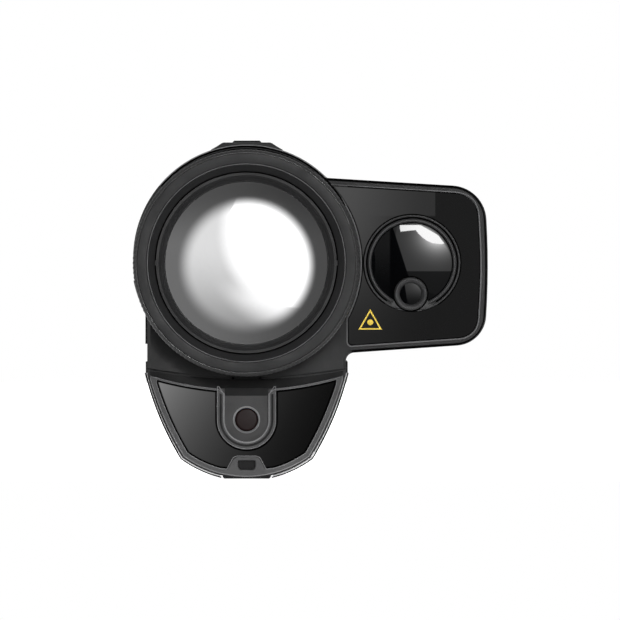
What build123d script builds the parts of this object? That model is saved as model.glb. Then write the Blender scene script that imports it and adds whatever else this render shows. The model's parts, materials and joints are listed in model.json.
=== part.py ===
from build123d import *

import os
from math import cos, radians, sin, sqrt

# Handheld thermal imaging camera: a monocular with a germanium objective at the front, a laser
# rangefinder beside it, a battery pack that slides out from under the objective, four buttons
# on top and an eyepiece at the back.
#
# Row frame: +Z up, the objective looks along -Y, +X is on the right of someone facing the
# objective. The origin is the mouth of the tripod socket, in the flat foot. All lengths are
# millimetres. Heights in the shapes below are counted from the optical axis.

# ---- Driving dimensions ------------------------------------------------------------------

AXIS_HEIGHT = 50.2       # optical axis above the foot
WALL = 2.0               # cast magnesium walls
GAP = 0.05               # joint between two fixed parts
SLIDING = 0.2            # battery pack in its bay
RUNNING = 0.1            # radial clearance of turning and sliding rings

# Stations along the optical axis
RING_FRONT = -94.0       # front of the focus ring
FRAME_FRONT = -81.0      # front of the front frame
FRAME_BACK = -74.0       # front frame meets the main body
BODY_BACK = 7.0          # main body meets the rear cap
REAR_MIDDLE = 18.0
REAR_BACK = 30.0         # end of the rear cap
EYECUP_BACK = 56.0

# Body section
UPPER_R = 26.4           # round upper half
UPPER_SHIFT = 1.2        # its centre, above the optical axis
BODY_HALF = 23.1         # flat sides
SIDE_END = -26.0         # where the flat sides turn into the flanks
FLANK_MIDDLE = (19.4, -36.5)
KINK = (14.9, -45.2)         # where the flanks turn into the bottom
BOTTOM = -50.05
EYEPIECE_END = (21.2, 0.4, 18.4, -17.0, (16.6, -21.5), (11.9, -25.5), -27.6)
FOOT_HALF = 5.6
SKIN = 0.45              # rubber on the lower flanks
PAD = 0.55               # rubber on the upper flanks

# Objective
HOUSING_R = 22.2         # fixed barrel
CELL_R = 20.9            # moving lens cell
CELL_TAIL_R = 14.5
RING_R = 25.15           # metal focus ring
GRIP_R = 26.3            # rubber over it
GLASS_R = 19.5
GLASS_WINDOW_R = 18.95
LENS_RADIUS = 80.0       # front face of the first lens
LENS_VERTEX = -93.1
LENS_THICKNESS = 5.0
LENS_SEAT = -86.5
FOCUS_TRAVEL = 1.2       # the cell moves this far each way
GRIP_RIBS = 96

# Rangefinder
LRF_TOP = (20.95, 17.6)      # height of the top edge at x = 0 and at the corner
LRF_BOTTOM = (-22.5, -18.75)
LRF_CORNER_X = 55.2
LRF_RIGHT = 56.1
LRF_CORNERS = (8.3, 7.2)     # radius of the upper and of the lower corner
LRF_BACK = -38.0
RECEIVER_X = 38.5
RECEIVER_R = 9.5
BEZEL_R = 11.3
EMITTER = (38.2, -7.2)
EMITTER_R = 3.9
PANEL_BORDER = 1.7
PANEL_LEFT = 23.6
PANEL_ROUND = 26.7           # the panel stops around the focus ring

# Battery
CHIN = (-24.1, -26.4)        # lower edge of the front frame's face: at the side, in the middle
BAY_TOP = (-25.3, -27.0)
FLANGE_TOP = (-24.4, -26.7)
FLANGE_THICK = 0.6
CAP_TOP = (-25.1, -29.0)
BAY_BACK = -6.4
BATTERY_BACK = BAY_BACK - 0.3
BAY_WALL = 1.5
CAP_FRONT = -83.0
CAP_SEAT = -79.5
U_HALF = 5.2
U_RIM = 7.1
U_CENTRE = -36.4
U_FLOOR = -81.6
CELL_RADIUS = 9.2
CELL_HEIGHT = -37.4
BOLT_RAMP = 42.0             # height minus y on the button's 45 degree ramp

# Keypad
BUTTON_STATIONS = (-61.0, -48.5, -36.0, -23.5)
BUTTON_NAMES = ("button_power", "button_up", "button_menu", "button_down")
BUTTON_SIZE = (6.7, 9.5)
BUTTON_TOP = 28.7
KEYPAD_SPAN = (-69.0, -15.5)
KEYPAD_SEAT = 26.0
KEYPAD_CROWN = 28.15

# Eyepiece
BARREL_R = 17.4
EYE_CELL_R = 15.1
EYE_LENS_R = 12.6
DIOPTER_R = 20.6
DIOPTER_TRAVEL = 1.8
DIOPTER_SPAN = (30.1, 40.0)
DIOPTER_RIBS = 40

# Fixings on the sides
STRAP_STATIONS = ((-1, -64.0), (-1, -20.0), (1, -20.0))   # side, y
STRAP_HEIGHT = -18.6
STRAP_PIN_X = 21.7
STRAP_PIN_R = 0.95
USB_STATION = -0.5
USB_HEIGHT = -19.0
DOOR_SIZE = (13.6, 8.0)      # along y and z
TRIPOD_BORE_R = 2.6          # minor radius of a 1/4-20 thread
TRIPOD_INSERT_R = 4.5
TRIPOD_DEPTH = 8.0

# Rear screws, ring nut and sprung contacts
SCREW_SPOTS = ((-16.9, 15.2), (16.9, 15.2), (-17.2, -26.5), (17.2, -26.5))
SCREW_R = 1.0
SCREW_HEAD_R = 1.9
SCREW_BOSS_R = 3.0
SCREW_REACH = 9.0
NUT_R = 23.7
NUT_BACK = -71.5
CONTACT_SPOTS = ((-6.0, -30.5), (-2.0, -30.5), (2.0, -30.5), (6.0, -30.5))
CONTACT_R = 0.9

# Cam pins of the two focusing movements
CAM_PIN_R = 0.8
CAM_PIN_STATION = -86.0
FOCUS_TURN = 60.0            # degrees each way
EYE_PIN_STATION = 35.0
DIOPTER_TURN = 100.0
FLANGE_SEAT = 15.0           # the eyepiece flange rests here inside the rear cap

# Rangefinder inside
LRF_SPOTS = ((51.0, 12.4), (51.0, -13.4), (28.9, 14.2), (27.9, -16.2))
LRF_SCREW_R = 0.9
LRF_HEAD_R = 1.7

# Shutter that covers the detector for its calibration
SHUTTER_PIVOT = (9.6, 9.6)
SHUTTER_HOLE_R = 6.0
SHUTTER_ARM = 13.58          # from the pivot to the middle of the hole
SHUTTER_REST = -75.0         # degrees, the open blade

# Charging port
DOOR_PIN = (-22.52, -22.4)   # x and height of the door's hinge pin


# ---- Planes and small helpers ------------------------------------------------------------

def front_plane(y, x=0.0, z=0.0):
    """Plane facing the front at station y, centred on the optical axis and then moved by x, z."""
    return Plane(origin=(x, y, AXIS_HEIGHT + z), x_dir=(1, 0, 0), z_dir=(0, -1, 0))


def top_plane(z, y=0.0, x=0.0):
    """Plane facing up, at height z from the optical axis."""
    return Plane(origin=(x, y, AXIS_HEIGHT + z))


def spin(points, x=0.0, z=0.0, mode=Mode.ADD):
    """Turns a profile of (y, radius) points about an axis along Y through x, z."""
    plane = Plane(origin=(x, 0, AXIS_HEIGHT + z), x_dir=(0, 1, 0), z_dir=(1, 0, 0))
    with BuildSketch(plane) as profile:
        with BuildLine():
            Polyline(*points, close=True)
        make_face()
    revolve(profile.sketch, axis=Axis(plane.origin, (0, 1, 0)), mode=mode)


def block(x, y, z, mode=Mode.ADD):
    """Box between two x, two y and two z values, with z from the optical axis."""
    middle = ((x[0] + x[1]) / 2, (y[0] + y[1]) / 2, AXIS_HEIGHT + (z[0] + z[1]) / 2)
    with Locations(middle):
        Box(abs(x[1] - x[0]), abs(y[1] - y[0]), abs(z[1] - z[0]), mode=mode)


def tube(y, outer, inner, x=0.0, z=0.0, mode=Mode.ADD):
    """Tube, or a rod when inner is 0, between two stations along Y."""
    low = 0.0 if inner == 0 else inner
    spin([(y[0], low), (y[0], outer), (y[1], outer), (y[1], low)], x, z, mode)


def save(piece, name):
    """Labels a finished piece and writes it as its own STEP file."""
    piece.label = name
    export_step(piece, f"parts/{name}.step")


# ---- Section shapes, in x and height from the optical axis --------------------------------

def mirrored(point):
    """The same point on the left side."""
    return (-point[0], point[1])


def shield_shape(radius, shift, half, side_end, flank_middle, kink, bottom, grow=0.0):
    """Round upper half, flat sides, bowed flanks and a rounded bottom."""
    side_top = shift - sqrt(radius**2 - half**2)
    with BuildSketch() as shape:
        with BuildLine():
            ThreePointArc((-half, side_top), (0, shift + radius), (half, side_top))
            Line((half, side_top), (half, side_end))
            ThreePointArc((half, side_end), flank_middle, kink)
            ThreePointArc(kink, (0, bottom), mirrored(kink))
            ThreePointArc(mirrored(kink), mirrored(flank_middle), (-half, side_end))
            Line((-half, side_end), (-half, side_top))
        make_face()
        if grow:
            offset(amount=grow, kind=Kind.INTERSECTION)
    return shape.sketch


def body_shape(grow=0.0):
    """Section of the camera body."""
    return shield_shape(UPPER_R, UPPER_SHIFT, BODY_HALF, SIDE_END, FLANK_MIDDLE, KINK, BOTTOM, grow)


def below_arc(edge, reach=24.5, floor=-60.0):
    """Everything below an arc that is edge[0] high at the sides and edge[1] in the middle."""
    with BuildSketch() as region:
        with BuildLine():
            ThreePointArc((-reach, edge[0]), (0, edge[1]), (reach, edge[0]))
            Polyline((reach, edge[0]), (reach, floor), (-reach, floor), (-reach, edge[0]))
        make_face()
    return region.sketch


def cavity_shape(inset=WALL, floor=-22.0):
    """Upper cavity of the body, above the web over the battery."""
    with BuildSketch() as shape:
        add(body_shape(-inset))
        with Locations((0, floor)):
            Rectangle(60, 60, align=(Align.CENTER, Align.MAX), mode=Mode.SUBTRACT)
    return shape.sketch


def lowered(edge, drop):
    """The same pair of edge heights, lower by drop."""
    return (edge[0] - drop, edge[1] - drop)


def bay_shape(inset=0.0):
    """Battery bay, under the web; the battery case is the same shape with an inset."""
    with BuildSketch() as shape:
        add(body_shape(-BAY_WALL - inset))
        add(below_arc(lowered(BAY_TOP, inset)), mode=Mode.INTERSECT)
    return shape.sketch


def cap_shape(inset=0.35, top=CAP_TOP):
    """Front plate of the battery pack, which covers the edge of the bay."""
    with BuildSketch() as shape:
        add(body_shape(-inset))
        add(below_arc(lowered(top, inset)), mode=Mode.INTERSECT)
    return shape.sketch


def lrf_shape(inset=0.0):
    """Rangefinder module: a rounded box that runs into the body on its left."""
    with BuildSketch() as shape:
        with BuildLine():
            Line((0, LRF_TOP[0]), (LRF_CORNER_X, LRF_TOP[1]))
            middle = (LRF_TOP[1] + LRF_BOTTOM[1]) / 2
            ThreePointArc((LRF_CORNER_X, LRF_TOP[1]), (LRF_RIGHT, middle), (LRF_CORNER_X, LRF_BOTTOM[1]))
            Polyline((LRF_CORNER_X, LRF_BOTTOM[1]), (0, LRF_BOTTOM[0]), (0, LRF_TOP[0]))
        make_face()
        fillet(shape.vertices().sort_by_distance((LRF_CORNER_X, LRF_TOP[1]))[0], LRF_CORNERS[0])
        fillet(shape.vertices().sort_by_distance((LRF_CORNER_X, LRF_BOTTOM[1]))[0], LRF_CORNERS[1])
        if inset:
            offset(amount=-inset, kind=Kind.INTERSECTION)
    return shape.sketch


def panel_shape(inset=0.0):
    """Glossy window panel of the rangefinder, cut round beside the focus ring."""
    with BuildSketch() as shape:
        add(lrf_shape(PANEL_BORDER))
        Circle(PANEL_ROUND, mode=Mode.SUBTRACT)
        with Locations((PANEL_LEFT, 0)):
            Rectangle(60, 60, align=(Align.MAX, Align.CENTER), mode=Mode.SUBTRACT)
        lower_left = shape.vertices().sort_by_distance((PANEL_LEFT, LRF_BOTTOM[0] + 2))[0]
        fillet(lower_left, 1.2)
        if inset:
            offset(amount=-inset, kind=Kind.INTERSECTION)
    return shape.sketch


def stadium(half, top, centre):
    """U shape: straight sides from top down to a half circle round centre."""
    with BuildSketch() as shape:
        with Locations((0, centre)):
            Circle(half)
        with Locations((0, (top + centre) / 2)):
            Rectangle(2 * half, top - centre)
    return shape.sketch


def slot_frame(grow=0.0):
    """Small trapezoid round the pull slot at the bottom of the battery cap."""
    with BuildSketch() as shape:
        with BuildLine():
            Polyline((-4.6, -49.5), (-2.75, -45.2), (2.75, -45.2), (4.6, -49.5), close=True)
        make_face()
        fillet(shape.vertices().group_by(Axis.Y)[-1], 0.7)
        if grow:
            offset(amount=grow, kind=Kind.INTERSECTION)
    return shape.sketch


def gloss_shape(grow=0.0):
    """Glossy insert of the battery cap, round the U recess and over the pull slot."""
    with BuildSketch() as shape:
        add(cap_shape(0.35 + 1.6 - grow))
        add(stadium(U_RIM + 0.15 - grow, -20.0, U_CENTRE), mode=Mode.SUBTRACT)
        add(slot_frame(0.15 - grow), mode=Mode.SUBTRACT)
    return shape.sketch


os.makedirs("parts", exist_ok=True)

# ---- Casings -------------------------------------------------------------------------------

with BuildPart() as front_frame:
    with BuildSketch(front_plane(FRAME_BACK)) as outline:
        add(body_shape())
        add(lrf_shape())
        fillet(outline.vertices().sort_by_distance((BODY_HALF, -20.7))[0], 2.0)
        fillet(outline.vertices().sort_by_distance((18.6, 19.6))[0], 0.8)
    extrude(amount=FRAME_BACK - FRAME_FRONT)
    chamfer(front_frame.faces().sort_by(Axis.Y)[0].edges(), 0.7)
    with BuildSketch(front_plane(CAP_SEAT)):
        add(below_arc(CHIN))
    extrude(amount=10, mode=Mode.SUBTRACT)
    with BuildSketch(front_plane(FRAME_FRONT + 1.5)):
        add(panel_shape(-0.15))
    extrude(amount=5, mode=Mode.SUBTRACT)
    with BuildSketch(front_plane(FRAME_BACK + 1)):
        add(panel_shape(1.5))
        with Locations(*LRF_SPOTS):
            Circle(2.2, mode=Mode.SUBTRACT)
        add(bay_shape())
        Circle(HOUSING_R + GAP)
        with Locations((RECEIVER_X, 0)):
            Circle(10.7)
    extrude(amount=20, mode=Mode.SUBTRACT)
    tube((FRAME_FRONT - 1, -78.5), BEZEL_R + 0.1, 0, RECEIVER_X, mode=Mode.SUBTRACT)
    with BuildSketch(front_plane(FRAME_BACK + 1)):
        with Locations(*LRF_SPOTS):
            Circle(LRF_SCREW_R + 0.02)
    extrude(amount=5, mode=Mode.SUBTRACT)
    block((-3.4, 3.4), (CAP_SEAT, FRAME_BACK + 1), (-30, -24.9), mode=Mode.SUBTRACT)
save(front_frame.part, "front_frame")

with BuildPart() as main_body:
    with BuildSketch(front_plane(BODY_BACK)):
        add(body_shape())
    extrude(amount=BODY_BACK - FRAME_BACK)
    block((-FOOT_HALF, FOOT_HALF), (FRAME_BACK + 0.5, BODY_BACK - 0.5), (-AXIS_HEIGHT, BOTTOM + 1.2))
    foot_ends = main_body.edges().filter_by(Axis.Y).group_by(Axis.Z)[0]
    chamfer(foot_ends, 0.35)
    # Upper cavity, open at both ends, and the space behind the battery
    with BuildSketch(front_plane(BODY_BACK)):
        add(cavity_shape())
    extrude(amount=BODY_BACK - FRAME_BACK, mode=Mode.SUBTRACT)
    block((-17.0, 17.0), (-4.4, BODY_BACK), (-38.0, -21.0), mode=Mode.SUBTRACT)
    with BuildSketch(front_plane(BAY_BACK)):
        add(bay_shape())
    extrude(amount=BAY_BACK - FRAME_BACK, mode=Mode.SUBTRACT)
    # Pockets for the strap, each with its boss inside and a hole for the cross pin
    for side, y in STRAP_STATIONS:
        block(
            (side * (BODY_HALF - 0.8), side * 16.6),
            (y - 4.6, y + 4.6),
            (STRAP_HEIGHT - 5.6, STRAP_HEIGHT + 5.8),
        )
    for side, y in STRAP_STATIONS:
        block(
            (side * (BODY_HALF + 1), side * 18.1),
            (y - 3.1, y + 3.1),
            (STRAP_HEIGHT - 4.2, STRAP_HEIGHT + 4.2),
            mode=Mode.SUBTRACT,
        )
        with BuildSketch(top_plane(STRAP_HEIGHT - 5.4, y, side * STRAP_PIN_X)):
            Circle(STRAP_PIN_R + GAP)
        extrude(amount=10.8, mode=Mode.SUBTRACT)
    # Keypad seat and slot
    block((-8.5, 8.5), KEYPAD_SPAN, (KEYPAD_SEAT, 30), mode=Mode.SUBTRACT)
    block((-6.2, 6.2), (KEYPAD_SPAN[0] + 2.2, KEYPAD_SPAN[1] - 2.2), (20, 30), mode=Mode.SUBTRACT)
    # Groove in the web for the battery latch, open to the front
    block((-3.4, 3.4), (FRAME_BACK - 1, -66.0), (-30, -25.4), mode=Mode.SUBTRACT)
    # Recess of the charging port's door, on the left side, and the port's opening
    door_y = (USB_STATION - DOOR_SIZE[0] / 2, USB_STATION + DOOR_SIZE[0] / 2)
    door_z = (USB_HEIGHT - DOOR_SIZE[1] / 2, USB_HEIGHT + DOOR_SIZE[1] / 2)
    block((-22.5, -18.6), (-6.3, BODY_BACK), (USB_HEIGHT - 3, USB_HEIGHT + 7))
    block(
        (-BODY_HALF - 1, -BODY_HALF + 1.3),
        (door_y[0] - 0.2, door_y[1] + 0.2),
        (door_z[0] - 0.2, door_z[1] + 0.2),
        mode=Mode.SUBTRACT,
    )
    block(
        (-BODY_HALF, -18.0),
        (USB_STATION - 4.7, USB_STATION + 4.7),
        (USB_HEIGHT - 1.75, USB_HEIGHT + 1.75),
        mode=Mode.SUBTRACT,
    )
    tube((door_y[0] - 1.4, BODY_BACK + 1), 0.42, 0, DOOR_PIN[0], DOOR_PIN[1], mode=Mode.SUBTRACT)
    # Tripod insert
    with BuildSketch(Plane.XY):
        Circle(TRIPOD_INSERT_R + 0.02)
    extrude(amount=TRIPOD_DEPTH, mode=Mode.SUBTRACT)
    # Room for the ring nut of the objective, and a cable hole to the rangefinder
    tube((FRAME_BACK - 1, NUT_BACK + 1.7), NUT_R + 0.3, 0, mode=Mode.SUBTRACT)
    block((19, 25), (-56, -50), (-5, 1), mode=Mode.SUBTRACT)
    # Bosses for the rear screws
    with BuildSketch(front_plane(BODY_BACK)):
        with Locations(*SCREW_SPOTS):
            Circle(SCREW_BOSS_R)
        add(body_shape(-WALL / 2), mode=Mode.INTERSECT)
    extrude(amount=SCREW_REACH)
    with BuildSketch(front_plane(BODY_BACK + 1)):
        with Locations(*SCREW_SPOTS):
            Circle(SCREW_R + 0.02)
    extrude(amount=SCREW_REACH, mode=Mode.SUBTRACT)
    # Holes for the sprung contacts of the bay
    with BuildSketch(front_plane(BAY_BACK + 3)):
        with Locations(*CONTACT_SPOTS):
            Circle(CONTACT_R + 0.02)
    extrude(amount=6, mode=Mode.SUBTRACT)
save(main_body.part, "main_body")

with BuildPart() as rear_cap:
    with BuildSketch(front_plane(BODY_BACK + GAP)):
        add(body_shape())
    extrude(amount=BODY_BACK + GAP - REAR_MIDDLE)
    with BuildSketch(front_plane(REAR_MIDDLE)):
        add(body_shape())
    with BuildSketch(front_plane(REAR_BACK)):
        add(shield_shape(*EYEPIECE_END))
    loft()
    # Hollow inside, and the opening for the eyepiece
    with BuildSketch(front_plane(FLANGE_SEAT)):
        add(cavity_shape(WALL + 0.3))
        with Locations(*SCREW_SPOTS):
            Circle(SCREW_BOSS_R, mode=Mode.SUBTRACT)
    extrude(amount=FLANGE_SEAT - BODY_BACK + 1, mode=Mode.SUBTRACT)
    tube((BODY_BACK - 1, REAR_BACK + 1), BARREL_R + GAP, 0, mode=Mode.SUBTRACT)
    with BuildSketch(front_plane(REAR_BACK + 1)):
        with Locations(*SCREW_SPOTS):
            Circle(SCREW_HEAD_R + 0.1)
    extrude(amount=REAR_BACK + 1 - BODY_BACK - 4, mode=Mode.SUBTRACT)
    with BuildSketch(front_plane(REAR_BACK)):
        with Locations(*SCREW_SPOTS):
            Circle(SCREW_R + 0.1)
    extrude(amount=REAR_BACK, mode=Mode.SUBTRACT)
    fillet(rear_cap.faces().sort_by(Axis.Y)[-1].outer_wire().edges(), 1.5)
save(rear_cap.part, "rear_cap")

with BuildPart() as rear_screws:
    with BuildSketch(front_plane(BODY_BACK + 5.6)):
        with Locations(*SCREW_SPOTS):
            Circle(SCREW_HEAD_R)
            RegularPolygon(1.0, 6, mode=Mode.SUBTRACT)
    extrude(amount=1.2)
    with BuildSketch(front_plane(BODY_BACK + 4.4)):
        with Locations(*SCREW_SPOTS):
            Circle(SCREW_R)
    extrude(amount=11.5)
    with BuildSketch(front_plane(BODY_BACK + 4.4)):
        with Locations(*SCREW_SPOTS):
            Circle(SCREW_HEAD_R)
    extrude(amount=0.3)
save(rear_screws.part, "rear_screws")


def side_rubber(side, low, high, span, thickness):
    """Rubber on one side of the body, between two heights, with a cut-out for each strap pocket."""
    with BuildSketch(front_plane(span[1])) as section:
        add(body_shape(thickness))
        add(body_shape(GAP), mode=Mode.SUBTRACT)
        with Locations((side * 30, (low + high) / 2)):
            Rectangle(36, high - low, mode=Mode.INTERSECT)
    extrude(section.sketch, amount=span[1] - span[0])
    for strap_side, y in STRAP_STATIONS:
        if strap_side == side and span[0] < y < span[1]:
            block(
                (side * 20, side * 30),
                (y - 4.2, y + 4.2),
                (STRAP_HEIGHT - 5.3, STRAP_HEIGHT + 5.3),
                mode=Mode.SUBTRACT,
            )


with BuildPart() as side_grips:
    side_rubber(-1, -18.8, -4.0, (-71.0, -9.5), PAD)
    side_rubber(1, -18.8, -4.0, (-36.5, -9.5), PAD)
save(side_grips.part, "side_grips")

with BuildPart() as flank_skins:
    for side in (-1, 1):
        side_rubber(side, -44.0, -22.9, (-72.0, -9.0), SKIN)
save(flank_skins.part, "flank_skins")

with BuildPart() as strap_pins:
    for side, y in STRAP_STATIONS:
        with BuildSketch(top_plane(STRAP_HEIGHT - 5.3, y, side * STRAP_PIN_X)):
            Circle(STRAP_PIN_R)
        extrude(amount=10.6)
save(strap_pins.part, "strap_pins")

with BuildPart() as tripod_insert:
    with BuildSketch(Plane.XY):
        Circle(TRIPOD_INSERT_R)
        Circle(TRIPOD_BORE_R, mode=Mode.SUBTRACT)
    extrude(amount=TRIPOD_DEPTH - 1)
    with BuildSketch(Plane.XY.offset(TRIPOD_DEPTH - 1)):
        Circle(TRIPOD_INSERT_R)
    extrude(amount=0.95)
save(tripod_insert.part, "tripod_insert")

# ---- Objective -----------------------------------------------------------------------------


def cam_groove(station, inner, depth, travel, turn, hand):
    """Three helical grooves for cam pins, cut into the bore of a ring from inside."""
    pitch = 2 * travel * 360 / (2 * turn)
    extra = 1.06
    height = 2 * travel * extra
    plane = Plane(origin=(0, station, AXIS_HEIGHT), x_dir=(1, 0, 0), z_dir=(0, -1, 0))
    with BuildPart(mode=Mode.PRIVATE) as groove:
        with BuildLine() as path:
            Helix(pitch, height, inner + depth / 2, center=(0, 0, -height / 2), lefthand=hand < 0)
        wire = path.wire()
        with BuildSketch(Plane(origin=wire @ 0, x_dir=(1, 0, 0), z_dir=wire % 0)):
            Rectangle(depth + 1.0, 2 * (CAM_PIN_R + 0.06))
        sweep(path=wire, is_frenet=True)
    turned = groove.part.rotate(Axis.Z, 90 - turn * extra * hand)
    for angle in (0, 120, 240):
        add(plane * turned.rotate(Axis.Z, angle), mode=Mode.SUBTRACT)


def cam_planes(station):
    """Three planes through the axis at a station, each facing out along its pin."""
    return [
        Plane(
            origin=(0, station, AXIS_HEIGHT),
            x_dir=(0, 1, 0),
            z_dir=(cos(radians(angle)), 0, sin(radians(angle))),
        )
        for angle in (90, 210, 330)
    ]


def cam_slots(station, reach, travel):
    """Straight slots for the three cam pins, which travel this far each way."""
    for plane in cam_planes(station):
        with BuildSketch(plane.offset(5)) as hole:
            SlotCenterToCenter(2 * travel + 0.2, 2 * (CAM_PIN_R + 0.06))
        extrude(hole.sketch, amount=reach - 5, mode=Mode.SUBTRACT)


def cam_pins(station, inner, outer):
    """Three pins, from the cell through the slots into the grooves of the ring."""
    for plane in cam_planes(station):
        with BuildSketch(plane.offset(inner)) as pin:
            Circle(CAM_PIN_R)
        extrude(pin.sketch, amount=outer - inner)


with BuildPart() as objective_housing:
    spin([
        (-92.4, 21.7), (-92.4, HOUSING_R), (-83.0, HOUSING_R), (-83.0, 24.6), (FRAME_FRONT - GAP, 24.6),
        (FRAME_FRONT - GAP, HOUSING_R), (-70.5, HOUSING_R), (-70.5, 21.0), (-90.8, 21.0), (-90.8, 21.7),
    ])
    cam_slots(CAM_PIN_STATION, 25, FOCUS_TRAVEL)
save(objective_housing.part, "objective_housing")

with BuildPart() as housing_nut:
    tube((FRAME_BACK + GAP, NUT_BACK), NUT_R, HOUSING_R + 0.02)
    for angle in range(0, 360, 90):
        with Locations(Location((0, NUT_BACK, AXIS_HEIGHT), (0, angle, 0)) * Location((NUT_R, 0, 0))):
            Box(1.2, 2.0, 2.4, mode=Mode.SUBTRACT)
save(housing_nut.part, "housing_nut")

with BuildPart() as front_bezel:
    spin([
        (-93.7, 22.9), (-92.45, 22.9), (-92.45, 21.65), (-91.0, 21.65), (-91.0, 21.1),
        (-92.2, 21.1), (-93.7, 22.6),
    ])
save(front_bezel.part, "front_bezel")

with BuildPart() as focus_ring:
    spin([
        (RING_FRONT, 23.0), (RING_FRONT, 25.4), (RING_FRONT + 0.8, 26.2), (-92.6, 26.2), (-92.6, RING_R),
        (-84.4, RING_R), (-84.4, 26.2), (-83.3, 26.2), (-83.3, HOUSING_R + RUNNING),
        (-92.35, HOUSING_R + RUNNING), (-92.35, 23.0),
    ])
    cam_groove(CAM_PIN_STATION, HOUSING_R, 1.4, FOCUS_TRAVEL, FOCUS_TURN, -1)
save(focus_ring.part, "focus_ring")

with BuildPart() as focus_grip:
    tube((-92.5, -84.5), GRIP_R - 0.45, RING_R + 0.02)
    with BuildSketch(front_plane(-84.5)):
        with PolarLocations(GRIP_R - 0.55, GRIP_RIBS):
            Rectangle(1.1, 0.9)
    extrude(amount=8.0)
save(focus_grip.part, "focus_grip")

with BuildPart() as lens_cell:
    spin([
        (-92.6, 20.35), (-92.6, CELL_R), (-78.0, CELL_R), (-78.0, 18.8), (-72.0, CELL_TAIL_R),
        (-60.0, CELL_TAIL_R), (-60.0, 11.0), (-62.0, 11.0), (-62.0, 12.55), (-66.0, 12.55),
        (-66.0, 12.9), (-72.0, 12.9), (-80.0, 17.4), (-82.0, 18.4), (LENS_SEAT, 18.4),
        (LENS_SEAT, GLASS_R + 0.05), (-90.6, GLASS_R + 0.05), (-90.6, 20.35),
    ])
    cam_pins(CAM_PIN_STATION, 19.8, 23.6)
save(lens_cell.part, "lens_cell")

with BuildPart() as front_lens:
    # Meniscus: both faces bulge to the front
    plane = Plane(origin=(0, 0, AXIS_HEIGHT), x_dir=(0, 1, 0), z_dir=(1, 0, 0))
    back = LENS_VERTEX + LENS_THICKNESS
    edge_back = LENS_SEAT - GAP
    centre = LENS_VERTEX + LENS_RADIUS
    edge_front = centre - sqrt(LENS_RADIUS**2 - GLASS_R**2)
    half_front = centre - sqrt(LENS_RADIUS**2 - (GLASS_R / 2) ** 2)
    half_back = back + (edge_back - back) / 4
    with BuildSketch(plane) as profile:
        with BuildLine():
            Line((LENS_VERTEX, 0), (back, 0))
            ThreePointArc((back, 0), (half_back, GLASS_R / 2), (edge_back, GLASS_R))
            Line((edge_back, GLASS_R), (edge_front, GLASS_R))
            ThreePointArc((edge_front, GLASS_R), (half_front, GLASS_R / 2), (LENS_VERTEX, 0))
        make_face()
    revolve(profile.sketch, axis=Axis(plane.origin, (0, 1, 0)))
save(front_lens.part, "front_lens")

with BuildPart() as lens_retainer:
    spin([
        (-92.4, 19.7), (-92.4, 20.3), (-90.65, 20.3), (-90.65, GLASS_R + 0.2),
        (-90.95, GLASS_WINDOW_R), (-91.25, GLASS_WINDOW_R),
    ])
    # Two notches for the spanner
    block((-CELL_R, CELL_R), (-93, -91.5), (-0.9, 0.9), mode=Mode.SUBTRACT)
save(lens_retainer.part, "lens_retainer")

with BuildPart() as rear_lens:
    spin([(-65.9, 0), (-65.9, 7), (-65.2, 12.5), (-62.3, 12.5), (-62.3, 9), (-62.8, 0)])
save(rear_lens.part, "rear_lens")

# ---- Inside the body -----------------------------------------------------------------------

with BuildPart() as shutter_plate:
    with BuildSketch(front_plane(-54.0)):
        add(cavity_shape(WALL + GAP, -21.9))
        Circle(SHUTTER_HOLE_R, mode=Mode.SUBTRACT)
        with Locations(SHUTTER_PIVOT):
            Circle(0.8 + RUNNING / 2, mode=Mode.SUBTRACT)
        with Locations((-16, -14), (16, -14)):
            Circle(2.0, mode=Mode.SUBTRACT)
        with Locations((0, 26)):
            Rectangle(14, 9, mode=Mode.SUBTRACT)
    extrude(amount=1.6)
save(shutter_plate.part, "shutter_plate")

with BuildPart() as shutter_motor:
    tube((-53.95, -47.0), 4.2, 0.85 + RUNNING, SHUTTER_PIVOT[0], SHUTTER_PIVOT[1])
save(shutter_motor.part, "shutter_motor")

with BuildPart() as shutter_blade:
    # Blade in its open place, turned 60 degrees from the hole
    blade_x = SHUTTER_PIVOT[0] + SHUTTER_ARM * cos(radians(SHUTTER_REST))
    blade_z = SHUTTER_PIVOT[1] + SHUTTER_ARM * sin(radians(SHUTTER_REST))
    with BuildSketch(front_plane(-55.8)):
        with Locations((blade_x, blade_z)):
            Circle(SHUTTER_HOLE_R + 0.8)
        with Locations(SHUTTER_PIVOT):
            Circle(2.0)
        with BuildLine():
            Polyline(
                (SHUTTER_PIVOT[0] - 1.9, SHUTTER_PIVOT[1] - 0.5),
                (SHUTTER_PIVOT[0] + 1.9, SHUTTER_PIVOT[1] + 0.5),
                (blade_x + 3.5, blade_z + 3.0),
                (blade_x - 4.5, blade_z + 1.0),
                close=True,
            )
        make_face()
    extrude(amount=0.4)
    tube((-56.2, -47.5), 0.8, 0, SHUTTER_PIVOT[0], SHUTTER_PIVOT[1])
save(shutter_blade.part, "shutter_blade")

with BuildPart() as detector:
    block((-8, 8), (-45.5, -41.55), (-8, 8))
    block((-6, 6), (-46.2, -45.5), (-5.2, 5.2))
save(detector.part, "detector")

with BuildPart() as detector_board:
    with BuildSketch(front_plane(-40.3)):
        add(cavity_shape(WALL + 0.1, -21.8))
        with Locations((0, 20)):
            Rectangle(16, 12, mode=Mode.SUBTRACT)
    extrude(amount=1.2)
    for x, z in ((-14, 4), (-13, -9), (13, -12), (12, 6)):
        block((x - 2.5, x + 2.5), (-40.3, -39.0), (z - 2, z + 2))
save(detector_board.part, "detector_board")

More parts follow.
